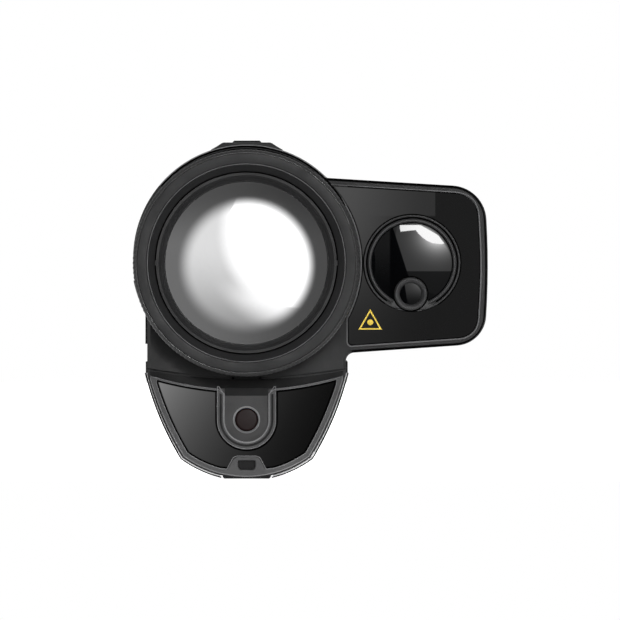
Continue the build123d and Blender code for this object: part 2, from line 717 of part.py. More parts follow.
with BuildPart() as main_board:
    with BuildSketch(front_plane(-24.0)):
        add(cavity_shape(WALL + 0.1, -21.8))
        with Locations((-24.1, -18), (24.1, -18)):
            Rectangle(16, 12, mode=Mode.SUBTRACT)
        with Locations((0, 20)):
            Rectangle(16, 12, mode=Mode.SUBTRACT)
    extrude(amount=1.2)
    for x, z, half in ((0, 0, 6), (-14, 6, 3), (11, -9, 4), (-12, -12, 3)):
        block((x - half, x + half), (-24.0, -22.4), (z - half, z + half))
save(main_board.part, "main_board")

with BuildPart() as display_holder:
    with BuildSketch(front_plane(6.5)):
        add(cavity_shape(WALL + 0.35, -21.6))
        with Locations(*SCREW_SPOTS):
            Circle(SCREW_BOSS_R + 0.4, mode=Mode.SUBTRACT)
        with Locations((-22, -17)):
            Rectangle(16, 13, mode=Mode.SUBTRACT)
        Rectangle(11.0, 8.6, mode=Mode.SUBTRACT)
    extrude(amount=1.5)
    with BuildSketch(front_plane(12.9)):
        Circle(14.0)
        Circle(12.8, mode=Mode.SUBTRACT)
    extrude(amount=6.4)
save(display_holder.part, "display_holder")

with BuildPart() as display:
    block((-8, 8), (2.4, 4.9), (-7, 7))
    block((-5.4, 5.4), (4.9, 5.6), (-4.2, 4.2))
save(display.part, "display")

# ---- Eyepiece ------------------------------------------------------------------------------

with BuildPart() as eyepiece_barrel:
    spin([
        (13.0, 15.2), (13.0, 18.7), (FLANGE_SEAT - GAP, 18.7), (FLANGE_SEAT - GAP, BARREL_R),
        (43.0, BARREL_R), (43.0, 15.2),
    ])
    cam_slots(EYE_PIN_STATION, 25, DIOPTER_TRAVEL)
save(eyepiece_barrel.part, "eyepiece_barrel")

with BuildPart() as eye_cell:
    spin([
        (20.0, 12.65), (20.0, EYE_CELL_R), (41.0, EYE_CELL_R), (41.0, 11.8), (40.2, 11.8), (40.2, 12.65),
        (34.3, 12.65), (34.3, 11.8), (28.5, 11.8), (28.5, 12.65),
    ])
    cam_pins(EYE_PIN_STATION, 13.0, 18.9)
save(eye_cell.part, "eye_cell")

with BuildPart() as field_lens:
    spin([(22.6, 0), (23.0, 7), (24.2, EYE_LENS_R), (28.4, EYE_LENS_R), (28.4, 10), (27.0, 0)])
save(field_lens.part, "field_lens")

with BuildPart() as eye_lens:
    spin([
        (34.8, 0), (34.8, 8), (35.4, EYE_LENS_R), (38.4, EYE_LENS_R),
        (39.5, 8), (39.9, 4), (40.0, 0),
    ])
save(eye_lens.part, "eye_lens")

with BuildPart() as diopter_ring:
    tube(DIOPTER_SPAN, DIOPTER_R, BARREL_R + RUNNING)
    chamfer(diopter_ring.edges().filter_by(GeomType.CIRCLE).group_by(SortBy.RADIUS)[-1], 0.5)
    with BuildSketch(front_plane(DIOPTER_SPAN[1] - 1.4)):
        with PolarLocations(DIOPTER_R, DIOPTER_RIBS):
            Circle(0.55)
    extrude(amount=DIOPTER_SPAN[1] - DIOPTER_SPAN[0] - 2.8, mode=Mode.SUBTRACT)
    cam_groove(EYE_PIN_STATION, BARREL_R, 1.4, DIOPTER_TRAVEL, DIOPTER_TURN, 1)
save(diopter_ring.part, "diopter_ring")

with BuildPart() as eyecup_ring:
    spin([
        (40.1, BARREL_R + 0.02), (40.1, 20.4), (41.3, 20.4), (41.3, 18.8), (44.0, 18.8),
        (44.0, 15.6), (43.05, 15.6), (43.05, BARREL_R + 0.02),
    ])
save(eyecup_ring.part, "eyecup_ring")

with BuildPart() as eyecup:
    spin([
        (41.35, 18.85), (41.35, 20.6), (46.0, 20.9), (51.0, 21.4), (EYECUP_BACK - 0.6, 22.6),
        (EYECUP_BACK, 22.3), (EYECUP_BACK - 0.2, 21.0), (51.0, 18.9), (46.5, 16.6), (44.8, 15.8),
        (44.1, 16.2), (44.1, 18.85),
    ])
save(eyecup.part, "eyecup")

# ---- Rangefinder ---------------------------------------------------------------------------

with BuildPart() as lrf_housing:
    with BuildSketch(front_plane(-46.0)):
        add(lrf_shape())
    extrude(amount=-46.0 - FRAME_BACK - GAP)
    with BuildSketch(front_plane(-46.0)):
        add(lrf_shape())
    with BuildSketch(front_plane(LRF_BACK)):
        add(lrf_shape(3.6))
    loft()
    with BuildSketch(front_plane(-30)):
        add(body_shape(GAP))
        with Locations((10, 0)):
            Rectangle(20, 80)
    extrude(amount=60, mode=Mode.SUBTRACT)
    with BuildSketch(front_plane(-43.0)):
        add(lrf_shape(2.0))
        with Locations((25.2, 0)):
            Rectangle(60, 60, align=(Align.MAX, Align.CENTER), mode=Mode.SUBTRACT)
        with Locations(*LRF_SPOTS):
            Circle(2.6, mode=Mode.SUBTRACT)
    extrude(amount=40, mode=Mode.SUBTRACT)
    with BuildSketch(front_plane(-30)):
        with Locations(*LRF_SPOTS):
            Circle(LRF_HEAD_R + 0.1)
    extrude(amount=14.5, mode=Mode.SUBTRACT)
    with BuildSketch(front_plane(-30)):
        with Locations(*LRF_SPOTS):
            Circle(LRF_SCREW_R + 0.1)
    extrude(amount=60, mode=Mode.SUBTRACT)
    block((22, 28), (-56, -50), (-5, 1), mode=Mode.SUBTRACT)
save(lrf_housing.part, "lrf_housing")

with BuildPart() as lrf_screws:
    with BuildSketch(front_plane(-42.8)):
        with Locations(*LRF_SPOTS):
            Circle(LRF_HEAD_R)
            RegularPolygon(0.9, 6, mode=Mode.SUBTRACT)
    extrude(amount=1.1)
    with BuildSketch(front_plane(-43.9)):
        with Locations(*LRF_SPOTS):
            Circle(LRF_HEAD_R)
    extrude(amount=0.5)
    with BuildSketch(front_plane(-44.4)):
        with Locations(*LRF_SPOTS):
            Circle(LRF_SCREW_R)
    extrude(amount=32.5)
save(lrf_screws.part, "lrf_screws")


def emitter_gap(clearance=0.12):
    """Clears the emitter tube out of the receiver's parts."""
    tube((-90, -50), EMITTER_R + clearance, 0, EMITTER[0], EMITTER[1], mode=Mode.SUBTRACT)


with BuildPart() as lrf_panel:
    with BuildSketch(front_plane(FRAME_FRONT + 1.45)):
        add(panel_shape())
        with Locations((RECEIVER_X, 0)):
            Circle(BEZEL_R + 0.1, mode=Mode.SUBTRACT)
    extrude(amount=1.45)
    emitter_gap()
save(lrf_panel.part, "lrf_panel")

with BuildPart() as receiver_bezel:
    spin([
        (-78.0, 9.6), (-81.2, 9.6), (-81.6, 9.9), (-81.6, 10.2), (-81.1, 10.35), (-81.1, 10.8),
        (-81.4, 10.95), (-81.4, 11.15), (-81.1, BEZEL_R), (-78.6, BEZEL_R), (-78.6, 10.6), (-78.0, 10.6),
    ], RECEIVER_X)
    emitter_gap()
save(receiver_bezel.part, "receiver_bezel")

with BuildPart() as receiver_barrel:
    spin([
        (-77.95, 9.6), (-77.95, 10.6), (-66.0, 10.6), (-58.0, 7.0), (-58.0, 5.8), (-66.5, 9.4),
        (-76.0, 9.4), (-76.0, 9.6),
    ], RECEIVER_X)
    emitter_gap()
save(receiver_barrel.part, "receiver_barrel")

with BuildPart() as receiver_lens:
    spin([
        (-81.0, 0), (-80.85, 3), (-80.35, 6), (-79.3, RECEIVER_R), (-76.1, RECEIVER_R), (-76.1, 0),
    ], RECEIVER_X)
    emitter_gap()
save(receiver_lens.part, "receiver_lens")

with BuildPart() as emitter_tube:
    spin([
        (-80.2, 2.75), (-81.2, 2.45), (-81.9, 3.0), (-82.0, 3.4), (-81.6, EMITTER_R - 0.05),
        (-62.0, EMITTER_R - 0.05), (-62.0, 2.75),
    ], EMITTER[0], EMITTER[1])
save(emitter_tube.part, "emitter_tube")

with BuildPart() as emitter_lens:
    spin([(-81.0, 0), (-80.7, 1.6), (-80.1, 2.7), (-78.5, 2.7), (-78.5, 0)], EMITTER[0], EMITTER[1])
save(emitter_lens.part, "emitter_lens")

with BuildPart() as laser_diode:
    tube((-65.0, -62.0), 2.7, 0, EMITTER[0], EMITTER[1])
    tube((-61.95, -60.8), 3.2, 0, EMITTER[0], EMITTER[1])
    tube((-62.1, -61.9), 2.6, 0, EMITTER[0], EMITTER[1])
save(laser_diode.part, "laser_diode")

with BuildPart() as receiver_board:
    block((29.0, 50.0), (-57.9, -56.7), (-10.5, 9.5))
    tube((-60.5, -57.9), 4.4, 0, RECEIVER_X)
save(receiver_board.part, "receiver_board")

# ---- Battery -------------------------------------------------------------------------------

with BuildPart() as battery_case:
    with BuildSketch(front_plane(BATTERY_BACK)):
        add(bay_shape(SLIDING))
    extrude(amount=BATTERY_BACK - CAP_SEAT - GAP)
    tube((-80, -10.8), CELL_RADIUS + 0.15, 0, 0, CELL_HEIGHT, mode=Mode.SUBTRACT)
    block((-9, 9), (-12, -8.2), (-34.5, -28.2), mode=Mode.SUBTRACT)
    for side in (-1, 1):
        block((side * 10.6, side * 14.5), (-80, -9.0), (-42.0, -31.0), mode=Mode.SUBTRACT)
    block((-3.2, 3.2), (-80, -76.9), (-42.4, -20), mode=Mode.SUBTRACT)
    with BuildSketch(front_plane(0)):
        with Locations(*CONTACT_SPOTS):
            Circle(1.25)
    extrude(amount=9, mode=Mode.SUBTRACT)
save(battery_case.part, "battery_case")

with BuildPart() as battery_cell:
    tube((-75.6, -10.9), CELL_RADIUS, 0, 0, CELL_HEIGHT)
    tube((-75.9, -75.6), 3.2, 0, 0, CELL_HEIGHT)
save(battery_cell.part, "battery_cell")

with BuildPart() as battery_contacts:
    with BuildSketch(front_plane(BATTERY_BACK - 0.05)):
        with Locations(*CONTACT_SPOTS):
            Circle(1.2)
    extrude(amount=1.9)
save(battery_contacts.part, "battery_contacts")

with BuildPart() as bay_contacts:
    with BuildSketch(front_plane(BAY_BACK + 2.6)):
        with Locations(*CONTACT_SPOTS):
            Circle(CONTACT_R)
    extrude(amount=2.75)
    block((-8, 8), (BAY_BACK + 2.05, BAY_BACK + 3.4), (-32.5, -28.5))
save(bay_contacts.part, "bay_contacts")

with BuildPart() as battery_cap:
    with BuildSketch(front_plane(CAP_SEAT)):
        add(cap_shape())
    extrude(amount=CAP_SEAT - CAP_FRONT)
    # Thin flange that closes the mouth of the bay above the plate
    with BuildSketch(front_plane(CAP_SEAT)):
        add(cap_shape(top=FLANGE_TOP))
    extrude(amount=FLANGE_THICK)
    with BuildSketch(front_plane(CAP_FRONT + 0.8)):
        add(gloss_shape(0.1))
    extrude(amount=2, mode=Mode.SUBTRACT)
    with BuildSketch(front_plane(CAP_FRONT + 0.5)):
        add(stadium(U_RIM - 0.5, -20.0, U_CENTRE))
    extrude(amount=2, mode=Mode.SUBTRACT)
    with BuildSketch(front_plane(U_FLOOR)):
        add(stadium(U_HALF, -20.0, U_CENTRE))
    extrude(amount=3, mode=Mode.SUBTRACT)
    tube((-90, -70), 2.74, 0, 0, U_CENTRE, mode=Mode.SUBTRACT)
    block((-2.1, 2.1), (-90, CAP_FRONT + 1.6), (-47.9, -45.8), mode=Mode.SUBTRACT)
save(battery_cap.part, "battery_cap")

with BuildPart() as battery_insert:
    with BuildSketch(front_plane(CAP_FRONT + 0.78)):
        add(gloss_shape())
    extrude(amount=0.75)
save(battery_insert.part, "battery_insert")

with BuildPart() as latch_button:
    tube((U_FLOOR + 0.2, CAP_SEAT - 0.8), 2.64, 0, 0, U_CENTRE)
    with BuildSketch(Plane(origin=(0, 0, AXIS_HEIGHT), x_dir=(0, 1, 0), z_dir=(1, 0, 0))):
        with BuildLine():
            Polyline(
                (CAP_SEAT - 0.8, -35.0), (-77.4, -35.0), (-77.4, BOLT_RAMP - 77.4),
                (-79.6, BOLT_RAMP - 79.6), (CAP_SEAT - 0.8, BOLT_RAMP - 79.6), close=True,
            )
        make_face()
    extrude(amount=1.5, both=True)
save(latch_button.part, "latch_button")

with BuildPart() as latch_bolt:
    block((-3.0, 3.0), (-78.9, -77.1), (-39.2, -26.85))
    with BuildSketch(Plane(origin=(0, 0, AXIS_HEIGHT), x_dir=(0, 1, 0), z_dir=(1, 0, 0))):
        with BuildLine():
            Polyline(
                (-80.5, BOLT_RAMP - 80.57), (-76.5, BOLT_RAMP - 76.57), (-76.5, -33.4), (-80.5, -33.4),
                close=True,
            )
        make_face()
    extrude(amount=1.7, both=True, mode=Mode.SUBTRACT)
save(latch_bolt.part, "latch_bolt")

with BuildPart() as latch_catch:
    # Spring leaf in the groove over the bolt; its lip hangs down in front of the bolt
    block((-3.0, 3.0), (-79.4, -66.4), (-25.75, -25.45))
    block((-3.0, 3.0), (-79.4, -79.1), (-27.8, -25.45))
save(latch_catch.part, "latch_catch")

# ---- Keypad --------------------------------------------------------------------------------

with BuildPart() as keypad_deck:
    with BuildSketch(front_plane(KEYPAD_SPAN[1] - 0.1)):
        with BuildLine():
            Polyline(
                (-8.4, 26.05), (-8.4, 26.5), (-5.6, KEYPAD_CROWN), (5.6, KEYPAD_CROWN), (8.4, 26.5),
                (8.4, 26.05), close=True,
            )
        make_face()
    extrude(amount=KEYPAD_SPAN[1] - KEYPAD_SPAN[0] - 0.2)
    deck_ends = keypad_deck.faces().filter_by(GeomType.PLANE).sort_by(Axis.Z)[-1].edges()
    chamfer(deck_ends.filter_by(Axis.X), 1.4)
    for y in BUTTON_STATIONS:
        half = (BUTTON_SIZE[0] / 2 + 0.12, BUTTON_SIZE[1] / 2 + 0.12)
        block((-half[0], half[0]), (y - half[1], y + half[1]), (25, 30), mode=Mode.SUBTRACT)
save(keypad_deck.part, "keypad_deck")

for button_name, y in zip(BUTTON_NAMES, BUTTON_STATIONS):
    with BuildPart() as button:
        half = (BUTTON_SIZE[0] / 2, BUTTON_SIZE[1] / 2)
        block((-half[0], half[0]), (y - half[1], y + half[1]), (25.4, BUTTON_TOP))
        fillet(button.edges().filter_by(Axis.Z), 1.0)
        chamfer(button.faces().sort_by(Axis.Z)[-1].edges(), 0.35)
        block((-half[0] - 1, half[0] + 1), (y - half[1] - 0.8, y + half[1] + 0.8), (25.0, 25.9))
        for step in range(-2, 3):
            block((-2.4, 2.4), (y + step * 1.6 - 0.3, y + step * 1.6 + 0.3), (28.4, 29), mode=Mode.SUBTRACT)
        with BuildSketch(top_plane(24.75, y)):
            Circle(1.6)
        extrude(amount=0.5)
    save(button.part, button_name)

with BuildPart() as keypad_board:
    block((-5.9, 5.9), (-66.0, -18.5), (22.2, 23.2))
    for y in BUTTON_STATIONS:
        with BuildSketch(top_plane(23.2, y)):
            Circle(2.3)
        extrude(amount=0.6, taper=30)
save(keypad_board.part, "keypad_board")

# ---- Charging port -------------------------------------------------------------------------

with BuildPart() as usb_door:
    y = (door_y[0] + 0.05, door_y[1] - 0.05)
    block((-BODY_HALF - 0.05, -21.95), y, (DOOR_PIN[1], door_z[1]))
    tube(y, 0.58, 0, DOOR_PIN[0], DOOR_PIN[1])
    tube((-90, 20), 0.45, 0, DOOR_PIN[0], DOOR_PIN[1], mode=Mode.SUBTRACT)
    for step in range(3):
        block((-24, -BODY_HALF + 0.2), (-4, 3), (-16.6 - step * 0.9, -16.2 - step * 0.9), mode=Mode.SUBTRACT)
save(usb_door.part, "usb_door")

with BuildPart() as usb_hinge_pin:
    tube((door_y[0] - 1.3, BODY_BACK - 0.1), 0.4, 0, DOOR_PIN[0], DOOR_PIN[1])
save(usb_hinge_pin.part, "usb_hinge_pin")

with BuildPart() as usb_socket:
    block((-21.5, -14.5), (USB_STATION - 4.65, USB_STATION + 4.65), (USB_HEIGHT - 1.7, USB_HEIGHT + 1.7))
    fillet(usb_socket.edges().filter_by(Axis.X), 1.5)
    block((-22, -15.5), (USB_STATION - 4.3, USB_STATION + 4.3), (USB_HEIGHT - 1.35, USB_HEIGHT + 1.35),
          mode=Mode.SUBTRACT)
    block((-20.8, -15.4), (USB_STATION - 3.3, USB_STATION + 3.3), (USB_HEIGHT - 0.35, USB_HEIGHT + 0.35))
save(usb_socket.part, "usb_socket")
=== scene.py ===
import json
import math

import bmesh
import bpy
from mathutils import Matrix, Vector


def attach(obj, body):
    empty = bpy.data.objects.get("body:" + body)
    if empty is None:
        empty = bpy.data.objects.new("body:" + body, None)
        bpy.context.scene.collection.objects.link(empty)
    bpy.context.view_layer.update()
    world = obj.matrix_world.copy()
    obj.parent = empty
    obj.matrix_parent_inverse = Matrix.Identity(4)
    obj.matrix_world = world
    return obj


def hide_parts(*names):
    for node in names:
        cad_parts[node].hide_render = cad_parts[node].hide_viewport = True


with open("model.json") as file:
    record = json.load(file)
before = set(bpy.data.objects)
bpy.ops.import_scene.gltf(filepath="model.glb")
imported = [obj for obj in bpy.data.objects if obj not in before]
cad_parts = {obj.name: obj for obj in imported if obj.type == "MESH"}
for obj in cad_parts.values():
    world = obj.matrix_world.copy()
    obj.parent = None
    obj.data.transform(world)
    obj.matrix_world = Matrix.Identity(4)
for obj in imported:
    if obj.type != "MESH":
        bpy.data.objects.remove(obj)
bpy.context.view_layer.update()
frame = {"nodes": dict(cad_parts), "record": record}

# ---- Layout: millimetres, with x and height counted from the optical axis -------------------

MM = 0.001
AXIS = 50.2                          # height of the optical axis above the foot
NODES = frame["nodes"]
RECEIVER = (38.5, 0.0)               # centres of the rangefinder's two lenses
EMITTER = (38.15, -7.15)


def mm(value):
    return value * MM


def height(value):
    """Metres above the floor of a height from the optical axis."""
    return mm(AXIS + value)


# ---- Materials -----------------------------------------------------------------------------

PATCH_SCALE, GLOSS_SCALE, DUST_SCALE, WEAR_SCALE = 90.0, 160.0, 240.0, 700.0    # of the noises
SMOOTHEST = 0.02                     # least roughness of any face
SPECK_SHARE = 0.4                    # how much of the colour comes from fine specks
DUST_COLOR = (0.32, 0.31, 0.29, 1.0)
WEAR_RADIUS = 0.25                   # millimetres of an edge that show wear
HAIR_SCALE, HAIR_TURN = (40.0, 40.0, 2600.0), (0.4, 0.7, 0.2)                   # of the long scratches


def put(tree, socket, value):
    """Sets a socket to a number or a colour, or links another node's output to it."""
    if isinstance(value, (int, float, tuple)):
        socket.default_value = value
    else:
        tree.links.new(value, socket)


def calculate(tree, operation, first, second=0.0):
    """The result of a sum on two numbers, each given as a number or as a node's output."""
    node = tree.nodes.new("ShaderNodeMath")
    node.operation = operation
    for socket, value in zip(node.inputs, (first, second)):
        put(tree, socket, value)
    return node.outputs["Value"]


def shade(color, factor):
    """A darker or lighter tone of a colour."""
    return tuple(min(1.0, c * factor) for c in color) + (1.0,)


def material(name, color, roughness, metallic=0.0, grain=1500.0, bump=0.2, depth=0.03, tint=0.3,
             spread=0.08, wear=0.0, wear_color=(0.3, 0.3, 0.31), specular=0.5, stretch=(1, 1, 1),
             scratches=0.0, dust=0.0):
    """Procedural material: grain in the surface, patchy colour and gloss, worn edges, scratches and dust."""
    made = bpy.data.materials.new(name)
    made.use_nodes = True
    tree = made.node_tree
    shader = tree.nodes["Principled BSDF"]
    shader.inputs["Metallic"].default_value = metallic
    shader.inputs["Specular IOR Level"].default_value = specular
    place = tree.nodes.new("ShaderNodeTexCoord").outputs["Object"]

    def mapped(scale, turn=(0.0, 0.0, 0.0)):
        node = tree.nodes.new("ShaderNodeMapping")
        node.inputs["Scale"].default_value = scale
        node.inputs["Rotation"].default_value = turn
        put(tree, node.inputs["Vector"], place)
        return node.outputs["Vector"]

    surface = mapped(stretch)

    def noise(scale, detail, rough=0.55, vector=surface):
        node = tree.nodes.new("ShaderNodeTexNoise")
        node.inputs["Scale"].default_value = scale
        node.inputs["Detail"].default_value = detail
        node.inputs["Roughness"].default_value = rough
        put(tree, node.inputs["Vector"], vector)
        return node.outputs["Fac"]

    def spread_over(value, low, high, from_low=0.3, from_high=0.7):
        node = tree.nodes.new("ShaderNodeMapRange")
        node.inputs["From Min"].default_value = from_low
        node.inputs["From Max"].default_value = from_high
        node.inputs["To Min"].default_value = low
        node.inputs["To Max"].default_value = high
        put(tree, node.inputs["Value"], value)
        return node.outputs["Result"]

    def mix(factor, first, second):
        node = tree.nodes.new("ShaderNodeMix")
        node.data_type = "RGBA"
        for socket, value in (("Factor", factor), ("A", first), ("B", second)):
            put(tree, node.inputs[socket], value)
        return node.outputs["Result"]

    def edges():
        """1 along sharp edges and 0 on flat faces."""
        bevel = tree.nodes.new("ShaderNodeBevel")
        bevel.samples = 4
        bevel.inputs["Radius"].default_value = mm(WEAR_RADIUS)
        geometry = tree.nodes.new("ShaderNodeNewGeometry")
        dot = tree.nodes.new("ShaderNodeVectorMath")
        dot.operation = "DOT_PRODUCT"
        put(tree, dot.inputs[0], bevel.outputs["Normal"])
        put(tree, dot.inputs[1], geometry.outputs["Normal"])
        return spread_over(dot.outputs["Value"], 1.0, 0.0, 0.9, 0.995)

    light = shade(color, 1 + tint)
    patches = spread_over(noise(PATCH_SCALE, 4.0), 0.0, 1.0)
    specks = spread_over(noise(grain * 1.7, 3.0), 0.0, 1.0)
    base = mix(SPECK_SHARE, mix(patches, shade(color, 1 - tint), light),
               mix(specks, shade(color, 1 - tint / 2), light))
    if dust:
        base = mix(spread_over(noise(DUST_SCALE, 8.0, 0.7), 0.0, dust, 0.52, 0.8), base, DUST_COLOR)
    if wear:
        broken = spread_over(noise(WEAR_SCALE, 6.0), 0.25 * wear, wear, 0.35, 0.6)
        base = mix(calculate(tree, "MULTIPLY", edges(), broken), base, shade(wear_color, 1))
    put(tree, shader.inputs["Base Color"], base)

    rough = spread_over(noise(GLOSS_SCALE, 6.0, 0.6), max(SMOOTHEST, roughness - spread), roughness + spread)
    if scratches:
        hairs = noise(1.0, 2.0, 0.5, mapped(HAIR_SCALE, HAIR_TURN))
        rough = calculate(tree, "ADD", rough, spread_over(hairs, 0.0, scratches, 0.62, 0.7))
    put(tree, shader.inputs["Roughness"], rough)

    raised = tree.nodes.new("ShaderNodeBump")
    raised.inputs["Strength"].default_value = bump
    raised.inputs["Distance"].default_value = mm(depth)
    put(tree, raised.inputs["Height"], noise(grain, 6.0, 0.6))
    put(tree, shader.inputs["Normal"], raised.outputs["Normal"])
    return made


PAINT = material("housing_paint", (0.0125, 0.0126, 0.0132), 0.5, grain=2600, bump=0.35, depth=0.05, tint=0.14,
                 wear=0.1, wear_color=(0.11, 0.11, 0.115), scratches=0.06, dust=0.02, specular=0.2)
PLASTIC = material("frame_plastic", (0.0105, 0.0105, 0.0109), 0.42, grain=3200, bump=0.18, depth=0.025,
                   wear=0.12, wear_color=(0.12, 0.12, 0.125), dust=0.02, specular=0.2)
CAP_PLASTIC = material("cap_plastic", (0.034, 0.034, 0.035), 0.38, grain=3200, bump=0.18, depth=0.02,
                       wear=0.3, wear_color=(0.2, 0.2, 0.205), dust=0.02, specular=0.3)
GLOSS = material("gloss_black", (0.0016, 0.0016, 0.0017), 0.035, grain=1200, bump=0.0, depth=0.001,
                 spread=0.006, specular=0.065)
CAP_GLOSS = material("cap_gloss", (0.0009, 0.0009, 0.0009), 0.045, grain=1200, bump=0.0, depth=0.001,
                     spread=0.008, specular=0.04)
RUBBER = material("dark_rubber", (0.013, 0.013, 0.0135), 0.62, grain=2200, bump=0.35, depth=0.05, spread=0.1,
                  dust=0.04, specular=0.25)
RING = material("ring_metal", (0.0128, 0.0128, 0.0132), 0.45, grain=3000, bump=0.12, depth=0.015, wear=0.18,
                wear_color=(0.2, 0.2, 0.205), scratches=0.04, specular=0.22)
ANODISED = material("black_anodised", (0.0135, 0.0135, 0.014), 0.45, grain=3500, bump=0.1, depth=0.012,
                    wear=0.2, wear_color=(0.16, 0.16, 0.165), specular=0.22)
RETAINER = material("retainer_finish", (0.0155, 0.0155, 0.016), 0.6, grain=3600, bump=0.08, depth=0.01,
                    specular=0.1)
STEP = material("step_finish", (0.0125, 0.0125, 0.013), 0.55, grain=3600, bump=0.08, depth=0.01,
                specular=0.14)
BEZEL = material("bezel_finish", (0.042, 0.042, 0.043), 0.4, grain=3200, bump=0.08, depth=0.01, wear=0.15,
                 wear_color=(0.16, 0.16, 0.165), specular=0.25)
EDGE = material("polished_edge", (0.012, 0.012, 0.0123), 0.22, grain=3200, bump=0.04, depth=0.005,
                specular=0.6)
# A light tone for thin beads on the panel's rim and at the focus ring's mouth: a painted highlight.
RIM_HIGHLIGHT = material("rim_painted_highlight", (0.15, 0.15, 0.153), 0.35, grain=3200, bump=0.1, depth=0.012, wear=0.1,
               specular=0.3)
# A near-white tone for the lines along the flanks: a painted highlight.
FLANK_HIGHLIGHT = material("flank_painted_highlight", (0.85, 0.85, 0.86), 0.3, grain=2600, bump=0.05, depth=0.005)
# A light tone for the lip round the collar: a painted highlight.
COLLAR_HIGHLIGHT = material("collar_painted_highlight", (0.2, 0.2, 0.205), 0.3, grain=2600, bump=0.05, depth=0.005, wear=0.2)
# Near-black for plates and rims in recesses and gaps: painted shade.
RECESS_SHADE = material("painted_recess_shade", (0.007, 0.007, 0.0073), 0.5, grain=3200, bump=0.1, depth=0.012,
                     specular=0.12)
# Near-black for rings, lines and beds in gaps and seams: painted shade.
GAP_SHADE = material("painted_gap_shade", (0.0012, 0.0012, 0.0012), 0.9, grain=3000, bump=0.1, specular=0.02)
STEEL = material("steel", (0.5, 0.5, 0.51), 0.3, metallic=1.0, grain=900, bump=0.12, depth=0.01,
                 stretch=(1, 12, 1), scratches=0.1)
BLACK_STEEL = material("black_steel", (0.008, 0.008, 0.0085), 0.45, grain=1500, bump=0.1, depth=0.01,
                       scratches=0.1, specular=0.15)
BRASS = material("brass", (0.66, 0.48, 0.22), 0.3, metallic=1.0, grain=900, bump=0.15, depth=0.01,
                 stretch=(1, 1, 14), scratches=0.1)
BOARD = material("board", (0.015, 0.09, 0.035), 0.4, grain=1500, bump=0.2)
CERAMIC = material("ceramic", (0.55, 0.52, 0.47), 0.5, grain=2500, bump=0.2)
WRAP = material("cell_wrap", (0.03, 0.1, 0.28), 0.3, grain=1200, bump=0.1)
GOLD = material("gold_contact", (0.8, 0.56, 0.22), 0.25, metallic=1.0, grain=1500, bump=0.1)
BUTTON = material("button_rubber", (0.007, 0.007, 0.0073), 0.55, grain=2400, bump=0.3, depth=0.04, dust=0.015,
                  specular=0.12)
RED = material("red_button", (0.0105, 0.0042, 0.0042), 0.4, grain=2600, bump=0.15, depth=0.02, specular=0.12)
GERMANIUM = material("germanium", (0.93, 0.93, 0.935), 0.035, metallic=1.0, grain=600, bump=0.0, depth=0.001,
                     tint=0.02, spread=0.008)
GLASS = material("coated_glass", (0.0016, 0.0018, 0.0022), 0.02, grain=900, bump=0.0, depth=0.001,
                 spread=0.004, specular=0.25)
EMITTER_GLASS = material("emitter_glass", (0.0016, 0.0018, 0.0022), 0.02, grain=900, bump=0.0, depth=0.001,
                         spread=0.01)
YELLOW = material("caution_yellow", (0.9, 0.62, 0.012), 0.4, grain=2500, bump=0.05, depth=0.01, tint=0.1)
CAP_FLOOR = material("cap_floor", (0.042, 0.0415, 0.042), 0.5, grain=3400, bump=0.2, depth=0.025, dust=0.02,
                     specular=0.25)
# A light tone for lips along the battery front's edges and round its button: painted highlights.
CAP_HIGHLIGHT = material("cap_painted_highlight", (0.19, 0.19, 0.193), 0.3, grain=3000, bump=0.1, depth=0.015, wear=0.2)

UNPAINTED_GLASS_LEVEL = 0.004                 # specular level of the glass outside its painted reflection

SLOT_LOOKS = {
    "housing_paint": PAINT, "frame_plastic": PLASTIC, "gloss_black": GLOSS, "dark_rubber": RUBBER,
    "black_anodised": ANODISED, "ring_metal": RING, "steel": STEEL, "brass": BRASS, "germanium": GERMANIUM,
    "coated_glass": GLASS, "board": BOARD, "ceramic": CERAMIC, "cell_wrap": WRAP, "gold_contact": GOLD,
    "button_rubber": BUTTON, "red_button": RED,
}
for part in frame["record"]["subparts"]:
    for place in NODES[part["node"]].material_slots:
        place.material = SLOT_LOOKS[part["material_slot"]]
for name in ("latch_bolt", "latch_catch"):
    for place in NODES[name].material_slots:
        place.material = BLACK_STEEL


# ---- Shapes --------------------------------------------------------------------------------
# Outlines are lists of (x, height), and profiles are lists of (station along Y, radius). The lowest
# station is the foremost one.

FINE, COARSE = 256, 96               # points round large and small turned pieces
CREASE, PLATE_CREASE = 32.0, 4.0     # edges sharper than this many degrees aren't smoothed
WELD = 0.002                         # millimetres between points that are joined
TINY = 1e-6


def sweep(centre, radius, first, last, steps):
    """Points on a circle from one angle to another, in degrees, both ends included."""
    angles = [math.radians(first + (last - first) * i / steps) for i in range(steps + 1)]
    return [(centre[0] + radius * math.cos(a), centre[1] + radius * math.sin(a)) for a in angles]


def arc(first, middle, last, steps=24):
    """Points on the circle through three points, both ends included."""
    ax, ay = first
    bx, by = middle
    cx, cy = last
    d = 2 * (ax * (by - cy) + bx * (cy - ay) + cx * (ay - by))
    ux = ((ax**2 + ay**2) * (by - cy) + (bx**2 + by**2) * (cy - ay) + (cx**2 + cy**2) * (ay - by)) / d
    uy = ((ax**2 + ay**2) * (cx - bx) + (bx**2 + by**2) * (ax - cx) + (cx**2 + cy**2) * (bx - ax)) / d
    radius = math.hypot(ax - ux, ay - uy)
    start = math.atan2(ay - uy, ax - ux)
    mid = math.atan2(by - uy, bx - ux)
    end = math.atan2(cy - uy, cx - ux)
    turn = (end - start) % math.tau
    if (mid - start) % math.tau > turn:
        turn -= math.tau
    return sweep((ux, uy), radius, math.degrees(start), math.degrees(start + turn), steps)


def circle(centre, radius, steps=96):
    """A full circle of points."""
    return sweep(centre, radius, 0, 360, steps)[:-1]


def mirrored(points):
    """The points on the other side of the middle, in the opposite order."""
    return [(-x, z) for x, z in points[::-1]]


def dome(vertex, radius, reach, steps):
    """Profile of a convex face, from its middle to its edge."""
    return [(vertex + radius - math.sqrt(radius**2 - (reach * i / steps) ** 2), reach * i / steps)
            for i in range(steps + 1)]


